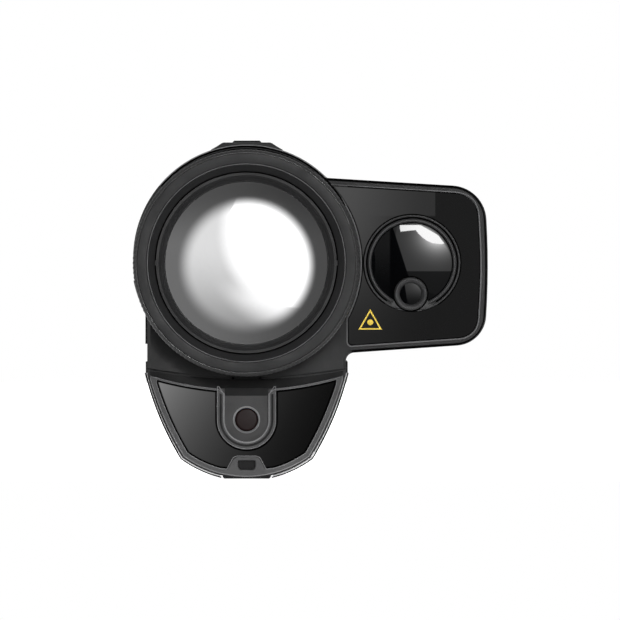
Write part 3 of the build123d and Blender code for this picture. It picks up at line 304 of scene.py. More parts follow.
def rounded(points, radii, steps=5, closed=True):
    """Replaces sharp corners by curves; radii is one number, or one for each corner."""
    count = len(points)
    if not hasattr(radii, "__len__"):
        radii = [radii] * count
    out = []
    for i, here in enumerate(points):
        if radii[i] == 0 or (not closed and i in (0, count - 1)):
            out.append(here)
            continue
        before = Vector(points[i - 1])
        after = Vector(points[(i + 1) % count])
        corner = Vector(here)
        reach_in = min(radii[i], (corner - before).length * 0.49)
        reach_out = min(radii[i], (after - corner).length * 0.49)
        start = corner + (before - corner).normalized() * reach_in
        end = corner + (after - corner).normalized() * reach_out
        for k in range(steps + 1):
            t = k / steps
            out.append(tuple(start * (1 - t) ** 2 + corner * 2 * t * (1 - t) + end * t * t))
    return out


def area(points):
    """Signed area of an outline."""
    return sum(a[0] * b[1] - b[0] * a[1] for a, b in zip(points, points[1:] + points[:1])) / 2


def grown(points, amount):
    """The outline moved outwards, or inwards when amount is negative."""
    sign = 1 if area(points) > 0 else -1
    out = []
    count = len(points)
    for i in range(count):
        a, b, c = Vector(points[i - 1]), Vector(points[i]), Vector(points[(i + 1) % count])
        one = (b - a).normalized()
        two = (c - b).normalized()
        first = Vector((one.y, -one.x)) * sign
        second = Vector((two.y, -two.x)) * sign
        middle = first + second
        if middle.length < TINY:
            middle = first
        middle = middle.normalized()
        scale = 1 / max(0.5, middle.dot(first))
        out.append(tuple(b + middle * amount * scale))
    return out


def smooth(mesh, crease):
    """Shades a mesh smoothly between its sharp edges."""
    mesh.shade_smooth()
    mesh.set_sharp_from_angle(angle=math.radians(crease))


def keep(name, mesh, look, body, replaced=(), crease=CREASE):
    """Puts a finished mesh in the scene on a body, with its material."""
    made = bpy.data.objects.new(name, mesh)
    bpy.context.scene.collection.objects.link(made)
    mesh.materials.clear()
    mesh.materials.append(look)
    smooth(mesh, crease)
    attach(made, body)
    if replaced:
        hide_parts(*replaced)
    return made


def new_curve(dimensions, loops, closed):
    """A curve with straight-sided splines through points in metres, bevelled finely."""
    curve = bpy.data.curves.new("outline", "CURVE")
    curve.dimensions = dimensions
    curve.bevel_resolution = 3
    for loop in loops:
        spline = curve.splines.new("POLY")
        spline.points.add(len(loop) - 1)
        for point, place in zip(spline.points, loop):
            point.co = (*place, 1)
        spline.use_cyclic_u = closed
    return curve


def shape_of(made):
    """A new mesh of an object's final shape."""
    graph = bpy.context.evaluated_depsgraph_get()
    return bpy.data.meshes.new_from_object(made.evaluated_get(graph))


def curve_mesh(curve):
    """The mesh of a curve, which is then removed."""
    holder = bpy.data.objects.new("outline", curve)
    bpy.context.scene.collection.objects.link(holder)
    mesh = shape_of(holder)
    bpy.data.objects.remove(holder)
    bpy.data.curves.remove(curve)
    return mesh


def built_mesh(made):
    """The mesh of geometry built face by face, with its faces turned outwards."""
    bmesh.ops.recalc_face_normals(made, faces=made.faces)
    mesh = bpy.data.meshes.new("built")
    made.to_mesh(mesh)
    made.free()
    return mesh


def plate_mesh(outline, holes, front, back, bevel):
    """Mesh of a flat plate between two stations, with holes and rounded edges."""
    curve = new_curve("2D", [[(mm(x), mm(z), 0) for x, z in loop] for loop in [outline, *holes]], True)
    curve.fill_mode = "BOTH"
    curve.extrude = mm((back - front) / 2 - bevel)
    curve.bevel_depth = mm(bevel)
    curve.offset = -mm(bevel)
    mesh = curve_mesh(curve)
    middle = mm((front + back) / 2)
    for vertex in mesh.vertices:
        x, z, depth = vertex.co
        vertex.co = (x, middle - depth, z + height(0))
    merged = bmesh.new()
    merged.from_mesh(mesh)
    bmesh.ops.remove_doubles(merged, verts=merged.verts, dist=mm(WELD))
    bmesh.ops.recalc_face_normals(merged, faces=merged.faces)
    merged.to_mesh(mesh)
    merged.free()
    return mesh


def plate(name, outline, holes, front, back, bevel, look, body, replaced=()):
    """A flat piece with holes and rounded edges."""
    mesh = plate_mesh(outline, holes, front, back, bevel)
    return keep(name, mesh, look, body, replaced, PLATE_CREASE)


def lathe_mesh(profile, centre, segments, wave=None):
    """Mesh of a closed profile turned about an axis along Y; wave shifts each radius."""
    made = bmesh.new()
    rings = []
    for y, r in profile:
        ring = []
        for i in range(segments if r > TINY else 1):
            angle = math.tau * i / segments
            radius = r + (wave(y, r, angle) if wave else 0)
            x = centre[0] + radius * math.cos(angle)
            z = centre[1] + radius * math.sin(angle)
            ring.append(made.verts.new((mm(x), mm(y), height(z))))
        rings.append(ring)
    for one, two in zip(rings, rings[1:] + rings[:1]):
        if len(one) == 1 and len(two) == 1:
            continue
        for i in range(segments):
            j = (i + 1) % segments
            if len(one) == 1:
                made.faces.new((one[0], two[i], two[j]))
            elif len(two) == 1:
                made.faces.new((one[i], one[j], two[0]))
            else:
                made.faces.new((one[i], one[j], two[j], two[i]))
    return built_mesh(made)


def lathe(name, profile, look, body, replaced=(), centre=(0, 0), segments=192, wave=None):
    """A turned piece."""
    made = keep(name, lathe_mesh(profile, centre, segments, wave), look, body, replaced)
    even = made.modifiers.new("even", "WEIGHTED_NORMAL")
    even.keep_sharp = True
    return made


def bead(name, path, station, radius, look, body, closed=False):
    """A fine rounded lip along a path at one station."""
    curve = new_curve("3D", [[(mm(x), mm(station), height(z)) for x, z in path]], closed)
    curve.bevel_depth = mm(radius)
    curve.use_fill_caps = True
    return keep(name, curve_mesh(curve), look, body)


def frame_mesh(outer, inner, front, back):
    """Mesh of a flat frame between two outlines with the same number of points, open at its back."""
    made = bmesh.new()
    loops = [[made.verts.new((mm(x), mm(y), height(z))) for x, z in outline]
             for outline, y in ((outer, back), (outer, front), (inner, front), (inner, back))]
    for one, two in zip(loops, loops[1:]):
        for i in range(len(outer)):
            j = (i + 1) % len(outer)
            made.faces.new((one[i], one[j], two[j], two[i]))
    return built_mesh(made)


def cut_away(made, cutter_mesh):
    """Cuts one mesh out of a piece."""
    cutter = bpy.data.objects.new("cutter", cutter_mesh)
    bpy.context.scene.collection.objects.link(cutter)
    tool = made.modifiers.new("cut", "BOOLEAN")
    tool.operation = "DIFFERENCE"
    tool.solver = "EXACT"
    tool.object = cutter
    mesh = shape_of(made)
    made.modifiers.clear()
    made.data = mesh
    smooth(mesh, CREASE)
    bpy.data.objects.remove(cutter)


# ---- Painted reflections: each glossy face's specular level, varied across it to paint in reflections ---

class Picture:
    """A number worked out from an object's own x and z, in metres."""

    def __init__(self, look):
        self.look = look
        self.tree = look.node_tree
        coords = self.tree.nodes.new("ShaderNodeTexCoord")
        parts = self.tree.nodes.new("ShaderNodeSeparateXYZ")
        self.place = coords.outputs["Object"]
        put(self.tree, parts.inputs["Vector"], self.place)
        self.x = parts.outputs["X"]
        self.z = parts.outputs["Z"]

    def math(self, operation, first, second=0.0):
        return calculate(self.tree, operation, first, second)

    def ramp(self, value, start, end, low=0.0, high=1.0):
        """Smooth change from low at start to high at end."""
        node = self.tree.nodes.new("ShaderNodeMapRange")
        node.interpolation_type = "SMOOTHSTEP"
        flip = start > end
        node.inputs["From Min"].default_value = end if flip else start
        node.inputs["From Max"].default_value = start if flip else end
        node.inputs["To Min"].default_value = high if flip else low
        node.inputs["To Max"].default_value = low if flip else high
        put(self.tree, node.inputs["Value"], value)
        return node.outputs["Result"]

    def distance(self, x, z):
        """Distance from a point."""
        node = self.tree.nodes.new("ShaderNodeVectorMath")
        node.operation = "DISTANCE"
        put(self.tree, node.inputs[0], self.place)
        node.inputs[1].default_value = (x, 0.0, z)
        return node.outputs["Value"]

    def product(self, *factors):
        total = factors[0]
        for factor in factors[1:]:
            total = self.math("MULTIPLY", total, factor)
        return total

    def total(self, *terms):
        result = terms[0]
        for term in terms[1:]:
            result = self.math("ADD", result, term)
        return result

    def blend(self, factor, low, high):
        """Goes from low to high as factor goes from 0 to 1."""
        return self.total(self.product(factor, high), self.product(self.math("SUBTRACT", 1.0, factor), low))

    def right_of(self, centre, offset, lean, softness):
        """1 right of a leaning line beside a lens's centre, and 0 left of it; sizes in millimetres."""
        rise = self.math("SUBTRACT", self.z, height(centre[1]))
        across = self.total(self.x, self.product(rise, lean), mm(offset - centre[0]))
        return self.ramp(across, mm(-softness), mm(softness))

    def drive(self, socket, value):
        """Puts the number on a socket of the material's shader."""
        put(self.tree, self.tree.nodes["Principled BSDF"].inputs[socket], value)


def paint_panel_reflection():
    """Painted reflection: the window panel's specular level is raised at its upper left, and a paler block in
    its top strip is a painted reflection too.
    """
    face = Picture(GLOSS)
    left = face.product(face.ramp(face.x, mm(22), mm(43), 1.05, 0.0),
                        face.ramp(face.z, height(-19), height(17), 0.05, 0.345))
    block = face.product(face.ramp(face.x, mm(26), mm(42), 0.0, 0.11),
                         face.ramp(face.x, mm(44.0), mm(43.7)),
                         face.ramp(face.z, height(10.7), height(11.2)))
    face.drive("Specular IOR Level", face.total(left, block, 0.066))


def paint_cap_reflection():
    """Painted reflection: the battery's insert has its specular level raised at its upper left, fading to the
    right and downwards.
    """
    face = Picture(CAP_GLOSS)
    across = face.product(face.x, -92.5)
    bend = face.product(face.x, face.x, -700.0)
    down = face.product(face.math("SUBTRACT", face.z, height(-32)), 47.0)
    level = face.math("EXPONENT", face.total(across, bend, down, -3.35))
    face.drive("Specular IOR Level", face.product(level, 6.5))


def paint_receiver_reflection():
    """Painted reflection: the receiver's glass is dark on the left, with a hint of tubes, and its specular
    level is raised on the upper right to paint in a reflection.
    """
    face = Picture(GLASS)
    upper = face.ramp(face.z, height(-2.0), height(-1.75), 0.06, 0.234)
    tubes = face.product(face.ramp(face.x, mm(33.6), mm(33.0)),
                         face.ramp(face.z, height(-6), height(6), 0.03, 0.13))
    right = face.right_of(RECEIVER, 1.81, 0.32, 0.12)
    face.drive("Specular IOR Level", face.blend(right, face.total(tubes, UNPAINTED_GLASS_LEVEL), upper))


def paint_emitter_reflection():
    """Painted reflection: the emitter's glass is dark on the left, and its specular level is raised on the
    upper right.
    """
    face = Picture(EMITTER_GLASS)
    upper = face.ramp(face.z, height(-9.2), height(-5.6), 0.05, 0.2)
    right = face.right_of(EMITTER, 1.05, 0.15, 0.1)
    face.drive("Specular IOR Level", face.blend(right, UNPAINTED_GLASS_LEVEL, upper))


paint_panel_reflection()
paint_cap_reflection()
paint_receiver_reflection()
paint_emitter_reflection()


# ---- Objective -----------------------------------------------------------------------------

RING_FRONT, RING_BACK = -94.0, -83.3
RING_SHOULDER = -92.3                # the step inside the ring's mouth
RING_BORE, RING_MOUTH, FACE_EDGE, RING_OUTER = 22.35, 23.05, 25.45, 26.25
GRIP_FRONT, GRIP_BACK, GRIP_SEAT = -92.6, -84.4, 25.1
KNURL_BACK, KNURL_INSIDE, KNURL_COUNT, KNURL_DEPTH = -92.7, 25.5, 144, 0.09
RIB_INSIDE, RIB_COUNT, RIB_DEPTH, RIB_STEEPNESS = 26.0, 90, 0.22, 2.2
BEZEL_FRONT, BEZEL_STEP, BEZEL_BACK = -93.7, -92.45, -91.0
BEZEL_BORE, BEZEL_OUTER = 21.24, 22.92
GAP_BED, CELL_RADIUS, CELL_FACE = -92.15, 20.6, -92.5
NIB_INSIDE, NIB_OUTSIDE, NIB_HALF = 20.4, 21.18, 0.58
LENS_VERTEX, LENS_CURVE, LENS_REACH = -93.1, 80.0, 19.45


def knurl(y, r, angle):
    """Fine knurl on the outer bevel of the focus ring."""
    if r < KNURL_INSIDE or y > KNURL_BACK:
        return 0
    return KNURL_DEPTH * math.cos(angle * KNURL_COUNT)


def grip_ribs(y, r, angle):
    """Ribs round the rubber grip."""
    if r < RIB_INSIDE:
        return 0
    return RIB_DEPTH * max(-1.0, min(1.0, RIB_STEEPNESS * math.cos(angle * RIB_COUNT))) - RIB_DEPTH


def focus_ring():
    """The turning ring and its rubber grip."""
    shell = [
        (RING_BACK, RING_BORE), (RING_SHOULDER, RING_BORE), (RING_SHOULDER, RING_MOUTH),
        (RING_FRONT, RING_MOUTH), (RING_FRONT, FACE_EDGE), (RING_FRONT + 0.9, RING_OUTER),
        (GRIP_FRONT, RING_OUTER), (GRIP_FRONT, GRIP_SEAT), (GRIP_BACK, GRIP_SEAT),
        (GRIP_BACK, RING_OUTER - 0.05), (RING_BACK, RING_OUTER - 0.05)]
    corners = [0.1, 0.1, 0.1, 0.22, 0.3, 0.25, 0.1, 0.1, 0.1, 0.25, 0.25]
    lathe("focus_ring_shell", rounded(shell, corners, 4), RING, "focus_ring", ("focus_ring",),
          segments=6 * KNURL_COUNT, wave=knurl)
    grip = [(GRIP_FRONT + 0.1, GRIP_SEAT + 0.05), (GRIP_FRONT + 0.1, RING_OUTER),
            (GRIP_BACK - 0.1, RING_OUTER), (GRIP_BACK - 0.1, GRIP_SEAT + 0.05)]
    lathe("focus_grip_ribbed", rounded(grip, [0, 0.4, 0.4, 0], 4), RUBBER, "focus_ring",
          ("focus_grip",), segments=8 * RIB_COUNT, wave=grip_ribs)


def front_bezel():
    """The sloping ring inside the focus ring."""
    profile = [
        (BEZEL_BACK, BEZEL_BORE), (-92.55, BEZEL_BORE), (-92.7, 21.45), (-93.55, 22.5), (BEZEL_FRONT, 22.7),
        (BEZEL_FRONT, BEZEL_OUTER), (BEZEL_STEP, BEZEL_OUTER), (BEZEL_STEP, 21.6), (BEZEL_BACK, 21.6)]
    lathe("bezel_ring", rounded(profile, 0.12, 3), STEP, "body", ("front_bezel",),
          segments=FINE)


def ring_lips():
    """Fine lips on the focus ring's front, at its mouth and at its outer bevel; the light tone of the one at
    the mouth is a painted highlight.
    """
    lathe("bezel_highlight", circle((BEZEL_FRONT - 0.08, BEZEL_OUTER), 0.085, 12), RIM_HIGHLIGHT, "focus_ring",
          segments=FINE)
    lathe("ring_edge_lip", circle((RING_FRONT + 0.07, FACE_EDGE + 0.05), 0.12, 16), EDGE, "focus_ring",
          segments=FINE)


def gap_bed():
    """Painted shade: a black ring at the bottom of the gap between the bezel and the lens cell."""
    inside, outside = CELL_RADIUS + 0.06, BEZEL_BORE - 0.02
    lathe("lens_gap_shade", [(CELL_FACE, inside), (CELL_FACE, outside), (GAP_BED, outside), (GAP_BED, inside)],
          GAP_SHADE, "body")


def lens_group():
    """The lens, the conical ring that holds it, and the two notches for a spanner."""
    retainer = [(CELL_FACE, 20.3), (CELL_FACE, 19.75), (-91.35, 18.97), (-90.95, 18.95), (-90.68, 19.6),
                (-90.68, 20.3)]
    lathe("lens_retainer_ring", rounded(retainer, 0.12, 3), RETAINER, "lens_cell",
          ("lens_retainer",), segments=FINE)
    face, back, inside = CELL_FACE - 0.02, CELL_FACE + 0.2, CELL_RADIUS - 0.4
    # The cell's rim is near-black, painted shade that widens the dark gap.
    lathe("cell_rim", [(face, inside), (face, CELL_RADIUS), (back, CELL_RADIUS), (back, inside)],
          RECESS_SHADE, "lens_cell", segments=FINE)
    for side, name in ((-1, "spanner_nib_left"), (1, "spanner_nib_right")):
        nib = [(side * x, z) for x, z in ((NIB_INSIDE, -NIB_HALF), (NIB_OUTSIDE, -NIB_HALF),
                                          (NIB_OUTSIDE, NIB_HALF), (NIB_INSIDE, NIB_HALF))]
        plate(name, nib, [], -92.85, -92.0, 0.05, RING, "lens_cell")
    lens = dome(LENS_VERTEX, LENS_CURVE, LENS_REACH, 48) + [(-86.6, LENS_REACH), (-87.7, 10.0), (-88.1, 0)]
    lathe("objective_lens", lens, GERMANIUM, "lens_cell", ("front_lens",), segments=FINE)


def collar():
    """Two light lips and two black lines round the top of the frame's collar, behind the focus ring: painted
    highlights and painted shade.
    """
    for name, radius, station, thick, look in (
            ("collar_highlight", 26.22, -80.6, 0.11, COLLAR_HIGHLIGHT), ("collar_shade_line", 25.92, -81.0, 0.22, GAP_SHADE),
            ("collar_highlight_inner", 25.6, -81.0, 0.1, BEZEL), ("collar_shade_line_inner", 25.3, -81.0, 0.22, GAP_SHADE)):
        bead(name, sweep((0, 1.2), radius, 28, 140, 56), station, thick, look, "body")


focus_ring()
front_bezel()
ring_lips()
gap_bed()
lens_group()
collar()


# ---- Rangefinder ---------------------------------------------------------------------------

POD_TOP, POD_LOW, POD_WAIST = 17.6, -18.75, -0.6      # heights at the module's right side
POD_TOP_LEFT, POD_LOW_LEFT = 20.95, -22.5             # the same edges carried on to the optical axis
POD_RIGHT, POD_BULGE = 55.2, 56.2
POD = [(0, POD_TOP_LEFT), (POD_RIGHT, POD_TOP), (POD_BULGE, POD_WAIST), (POD_RIGHT, POD_LOW),
       (0, POD_LOW_LEFT)]
POD_FRONT = -81.0
RING_CLEARANCE = 26.2                                 # radius of the cut beside the focus ring
PANEL_LEFT = 21.85
EDGE_START, EDGE_END = (18.0, 19.86), (24.6, -20.83)  # where the focus ring hides the module's edge
POD_CORNERS, PANEL_CORNERS = [0, 8.3, 8.0, 7.2, 0], [0, 5.4, 6.0, 4.8, 0]
RECEIVER_RADIUS, RECEIVER_CURVE = 9.5, 60.0
EMITTER_RADIUS, EMITTER_CURVE = 2.68, 40.0


def panel_outline(inset, ring_gap):
    """The window panel: the module's outline inset, cut round beside the focus ring."""
    radius = RING_CLEARANCE + ring_gap
    left = PANEL_LEFT + inset
    top = POD_TOP_LEFT - inset
    slope = (POD_TOP - POD_TOP_LEFT) / POD_RIGHT
    steep = 1 + slope**2
    top_x = (math.sqrt(steep * radius**2 - top**2) - top * slope) / steep
    start = math.degrees(-math.acos(left / radius))
    end = math.degrees(math.acos(top_x / radius))
    side = sweep((0, 0), radius, start, end, 40)
    right = [p for p in rounded(grown(POD, -inset), PANEL_CORNERS, 12) if p[0] > 30]
    right.sort(key=lambda p: -math.atan2(p[1], p[0] - 40))
    low = POD_LOW_LEFT + inset + (POD_LOW - POD_LOW_LEFT) / POD_RIGHT * left
    corner = rounded([side[0], (left, low), (left + 4, low + 0.27)], 1.3, 6, closed=False)
    return side + right + corner[::-1][:-1]


def pod_edge(inset):
    """The module's outer edge, from the focus ring over the top and back to it underneath."""
    right = POD_RIGHT - inset
    points = [(EDGE_START[0], EDGE_START[1] - inset), (right, POD_TOP - inset),
              (POD_BULGE - 0.1 - inset, POD_WAIST), (right, POD_LOW + inset),
              (EDGE_END[0] - inset / 2, EDGE_END[1] + inset)]
    return rounded(points, POD_CORNERS, 16, closed=False)


def pod_panel():
    """The glossy window panel with its light rim and the lip near the module's edge, both painted highlights,
    and the seam by the edge, a black line of painted shade.
    """
    plate("rangefinder_panel", panel_outline(1.75, 0.75), [circle(RECEIVER, 11.25)], POD_FRONT - 0.02, -79.6,
          0.14, GLOSS, "body", ("lrf_panel",))
    bead("panel_highlight", panel_outline(1.5, 0.45), POD_FRONT + 0.02, 0.17, RIM_HIGHLIGHT, "body",
         closed=True)
    bead("pod_shade_line", pod_edge(0.3), POD_FRONT + 0.4, 0.32, GAP_SHADE, "body")
    bead("pod_highlight", pod_edge(0.82), POD_FRONT + 0.02, 0.08, BEZEL, "body")


def drill(radius, front, back):
    """Cutter for a round hole about the emitter's axis."""
    return lathe_mesh([(front, 0), (front, radius), (back, radius), (back, 0)], EMITTER, COARSE)


def web(receiver_span, emitter_span):
    """Small curved triangle between the emitter tube and the receiver's ring; spans are in degrees."""
    return sweep(RECEIVER, 10.95, *receiver_span, 8) + sweep(EMITTER, 4.05, *emitter_span, 8)


def receiver():
    """The receiver's stepped ring and glass, cut away for the emitter tube, with two black lines of painted
    shade between its steps.
    """
    profile = [
        (-78.0, 9.55), (-81.1, 9.5), (-81.62, 9.75), (-81.62, 10.05), (-81.2, 10.3), (-80.75, 10.4),
        (-80.7, 10.65), (-81.2, 10.8), (-81.25, 11.1), (-80.9, 11.28), (-78.6, 11.28), (-78.6, 10.6),
        (-78.0, 10.6)]
    ring = lathe("receiver_ring", rounded(profile, 0.1, 3), BEZEL, "body",
                 ("receiver_bezel",), centre=RECEIVER, segments=FINE)
    for name, station, radius, thick in (("receiver_shade_line", -81.05, 11.36, 0.13),
                                         ("receiver_shade_line_inner", -81.0, 10.55, 0.15)):
        bead(name, sweep(RECEIVER, radius, -58, 236, 98), station, thick, GAP_SHADE, "body")
    cut_away(ring, drill(4.75, -83, -80.65))
    cut_away(ring, drill(4.0, -83, -70))
    for name, receiver_span, emitter_span in (("emitter_web_left", (-118, -100), (248, 200)),
                                              ("emitter_web_right", (-63, -80), (292, 340))):
        plate(name, web(receiver_span, emitter_span), [], -81.15, -80.2, 0.12, BEZEL, "body")
    face = dome(POD_FRONT, RECEIVER_CURVE, RECEIVER_RADIUS, 32)
    glass = lathe("receiver_glass", face + [(-78.2, RECEIVER_RADIUS), (-77.6, 0)], GLASS, "body",
                  ("receiver_lens",), centre=RECEIVER)
    cut_away(glass, drill(4.0, -84, -70))


def emitter():
    """The laser's tube with its rolled front edge, its glass, and a black ring of painted shade round it."""
    tube = [(-62.0, 2.75), (-80.3, 2.7), (-80.9, 2.45), (-81.6, 2.75), (-82.0, 3.2), (-81.95, 3.6),
            (-81.5, 3.85), (-80.5, 3.88), (-62.0, 3.88)]
    lathe("emitter_barrel", rounded(tube, [0, 0.1, 0.2, 0.3, 0.3, 0.3, 0.3, 0.2, 0], 4), BEZEL, "body",
          ("emitter_tube",), centre=EMITTER, segments=128)
    face = dome(POD_FRONT - 0.05, EMITTER_CURVE, EMITTER_RADIUS, 16)
    lathe("emitter_glass", face + [(-79.6, EMITTER_RADIUS), (-79.6, 0)], EMITTER_GLASS, "body",
          ("emitter_lens",), centre=EMITTER, segments=COARSE)
    lathe("emitter_shade_line", circle((-81.3, 4.02), 0.13, 12), GAP_SHADE, "body", centre=EMITTER,
          segments=COARSE)


def triangle(inset):
    """The mark's outline, inset from its outer edge."""
    side = inset * 1.85
    return [(26.0 + side, -15.45 + inset), (31.5 - side, -15.45 + inset), (28.75, -10.7 - inset * 2.05)]


def caution_mark():
    """A yellow triangle with a plain dot, printed on the panel."""
    face = POD_FRONT - 0.06
    keep("caution_triangle", frame_mesh(triangle(0.0), triangle(0.33), face, POD_FRONT), YELLOW, "body",
         crease=PLATE_CREASE)
    lathe("caution_dot", [(face, 0), (face, 0.66), (POD_FRONT, 0.7), (POD_FRONT, 0)], YELLOW, "body",
          centre=(28.75, -13.75), segments=48)


pod_panel()
receiver()
emitter()
caution_mark()


# ---- Battery front -------------------------------------------------------------------------

U_CENTRE = (0, -36.4)                                 # centre of the finger recess and the round button
CUP_CENTRE = (0, -36.45)
CUP_RADIUS = 5.15
FLANK = ((-23.1, -26.0), (-19.4, -36.5), (-14.9, -45.2))
BOTTOM = ((-14.9, -45.2), (0, -50.05), (14.9, -45.2))
TOP_HEIGHT, TOP_SAG, TOP_HALF = -25.1, 3.9, 24.5
CAP_FRONT, CAP_BACK = -83.0, -80.0
BUTTON_HOLE = circle(U_CENTRE, 3.0, 64)


def flank(inset):
    """Flanks and bottom of the battery front, from one top corner round to the other."""
    side = arc(*FLANK, 16)
    closed = side + arc(*BOTTOM, 24)[1:] + mirrored(side)[1:] + [(23.1, 10), (-23.1, 10)]
    return [p for p in grown(closed, -inset) if p[1] < -20]


def top_edge(x, drop):
    """Height of the arc along the top of the battery front."""
    return TOP_HEIGHT - TOP_SAG * (1 - (x / TOP_HALF) ** 2) - drop


def top_run(outer, inner, inset, steps):
    """The top edge's right half, from its outer end inwards."""
    return [(x, top_edge(x, inset)) for x in [outer + (inner - outer) * i / steps for i in range(steps + 1)]]


def battery_outline(inset, notch):
    """Outline of the battery front, with the U-shaped notch open at the top."""
    shape = [p for p in flank(inset) if p[1] < top_edge(p[0], inset)]
    top = top_run(shape[-1][0], 7.2, inset, 12)
    if not notch:
        return shape + top + mirrored(top)
    mouth = [(6.5, top_edge(6.9, inset) - 0.1), (CUP_RADIUS, -30.4)]
    cup = sweep(CUP_CENTRE, CUP_RADIUS, 0, -180, 24)
    return shape + top + mouth + cup + mirrored(mouth) + mirrored(top)


def gloss_outline(grow):
    """The glossy insert: round the U and over the small slot."""
    inset = 1.95 - grow
    top_inset = inset - 0.7
    shape = [p for p in flank(inset) if p[1] < top_edge(p[0], top_inset)]
    low = [p for p in shape if not (abs(p[0]) < 5.4 and p[1] < -44)]
    left = [p for p in low if p[0] < 0]
    right = [p for p in low if p[0] > 0]
    foot, shoulder = left[-1][1] - 0.15, -45.25 + grow
    boss = [(-4.15 - grow, foot), (-2.5 - grow, shoulder), (2.5 + grow, shoulder), (4.15 + grow, foot)]
    boss = rounded(boss, [0.4, 0.9, 0.9, 0.4], 4, closed=False)
    half = 7.2 - grow
    top = top_run(right[-1][0], half, top_inset, 8)
    return left + boss + right + top + sweep(U_CENTRE, half, 0, -180, 32) + mirrored(top)


def under_u(radius, centre=U_CENTRE):
    """The lower half of a circle, from left to right."""
    return sweep(centre, radius, 180, 360, 32)


def battery_plates():
    """The framed front plate, the plate behind it, the glossy insert and the flange in the bay's mouth; the
    black bed in the gap round the insert and the dark flange are painted shade.
    """
    slot = rounded([(-1.95, -45.85), (2.05, -45.85), (2.05, -47.4), (1.6, -48.0), (-1.5, -48.0),
                    (-1.95, -47.4)], 0.25, 3)
    plate("battery_frame", battery_outline(0.35, True), [gloss_outline(0.28), slot], CAP_FRONT, -81.5, 0.22,
          CAP_PLASTIC, "battery", ("battery_cap",))
    plate("battery_back_plate", battery_outline(0.45, False), [BUTTON_HOLE], -81.6, CAP_BACK, 0.2, CAP_FLOOR,
          "battery")
    plate("battery_gap_shade", gloss_outline(0.26), [], -82.3, -81.9, 0.03, GAP_SHADE, "battery")
    plate("battery_gloss", gloss_outline(0.0), [], CAP_FRONT + 0.08, -81.7, 0.14, CAP_GLOSS, "battery",
          ("battery_insert",))
    flange = [p for p in flank(0.35) if p[1] < -26] + arc((22.5, -25.1), (0, -27.05), (-22.5, -25.1), 32)
    plate("battery_flange_shade", flange, [BUTTON_HOLE], CAP_BACK - 0.1, -79.53, 0.08, RECESS_SHADE, "battery")


def battery_recesses():
    """Dark plates of painted shade on the sloping top of the finger recess, the floor of the pull slot and
    the groove round the U.
    """
    for name, x, z, front, back, bevel in (
            ("thumb_slope_shade", (-5.1, 5.1), (-28.9, -30.8), -81.75, -81.5, 0.06),
            ("pull_slot_shade", (-2.2, 2.3), (-45.7, -48.2), -81.9, -81.62, 0.03)):
        corners = [(x[0], z[0]), (x[1], z[0]), (x[1], z[1]), (x[0], z[1])]
        plate(name, corners, [], front, back, bevel, RECESS_SHADE, "battery")
    groove = [(-6.25, -30.3)] + under_u(6.25) + [(6.25, -30.3), (5.75, -30.5)]
    groove += under_u(5.75)[::-1] + [(-5.75, -30.5)]
    plate("u_groove_shade", groove, [], CAP_FRONT - 0.03, CAP_FRONT + 0.05, 0.01, RECESS_SHADE, "battery")


def battery_highlights():
    """Light lips along the edges of the frame, the insert and the U: painted highlights."""
    u_inner = [(-6.5, -28.6), (-5.3, -30.4)] + under_u(5.3, CUP_CENTRE) + [(5.3, -30.4), (6.5, -28.6)]
    u_outer = [(-6.75, -28.6)] + under_u(6.75) + [(6.75, -28.6)]
    for name, path, front, thick, closed in (
            ("battery_gap_highlight", gloss_outline(0.42), -82.98, 0.07, True),
            ("battery_edge_highlight", battery_outline(0.55, True), -82.93, 0.09, True),
            ("u_highlight_inner", u_inner, -82.95, 0.11, False), ("u_highlight_outer", u_outer, -82.93, 0.08, False)):
        bead(name, path, front, thick, CAP_HIGHLIGHT, "battery", closed=closed)


def latch_button():
    """The round button and the bevelled ring round it, whose light tone is a painted highlight."""
    button = [(-81.45, 0), (-81.45, 2.3), (-81.3, 2.6), (-80.3, 2.6), (-80.3, 0)]
    lathe("latch_button_cap", rounded(button, [0, 0.2, 0.2, 0, 0], 3), RED, "latch_button",
          ("latch_button",), centre=U_CENTRE, segments=COARSE)
    ring = [(-81.65, 3.15), (-81.3, 2.72), (-80.4, 2.72), (-80.4, 3.05), (-81.5, 3.2)]
    lathe("button_bevel", rounded(ring, 0.06, 3), CAP_HIGHLIGHT, "battery", centre=U_CENTRE,
          segments=COARSE)


battery_plates()
battery_recesses()
battery_highlights()
latch_button()


# ---- Flanks and top ------------------------------------------------------------------------

def piping():
    """Fine light lines along the front of each flank skin, painted highlights, each with a black line of
    painted shade beside it.
    """
    flank_line = arc((-23.1, -25.5), *FLANK[1:], 24)
    corner_line = [p for p in arc(*BOTTOM, 40) if p[0] < -6.2]
    outline = [(-23.1, -23.2)] + flank_line + corner_line[1:]
    for side, end in ((-1, "left"), (1, "right")):
        for name, proud, thick, look in (("piping", 0.18, 0.13, FLANK_HIGHLIGHT), ("piping_edge", 0.5, 0.17, GAP_SHADE)):
            line = [(-side * x, z) for x, z in grown(outline + [(0, 0)], proud)[1:-1]]
            bead(f"{name}_{end}", line, -74.2, thick, look, "body")


def deck_highlight():
    """Light lip along the front edge of the keypad's platform: a painted highlight."""
    edge = rounded([(-8.3, 26.3), (-5.6, 28.1), (5.6, 28.1), (8.3, 26.3)], 0.4, 3, closed=False)
    bead("deck_highlight", edge, -68.95, 0.12, BEZEL, "body")


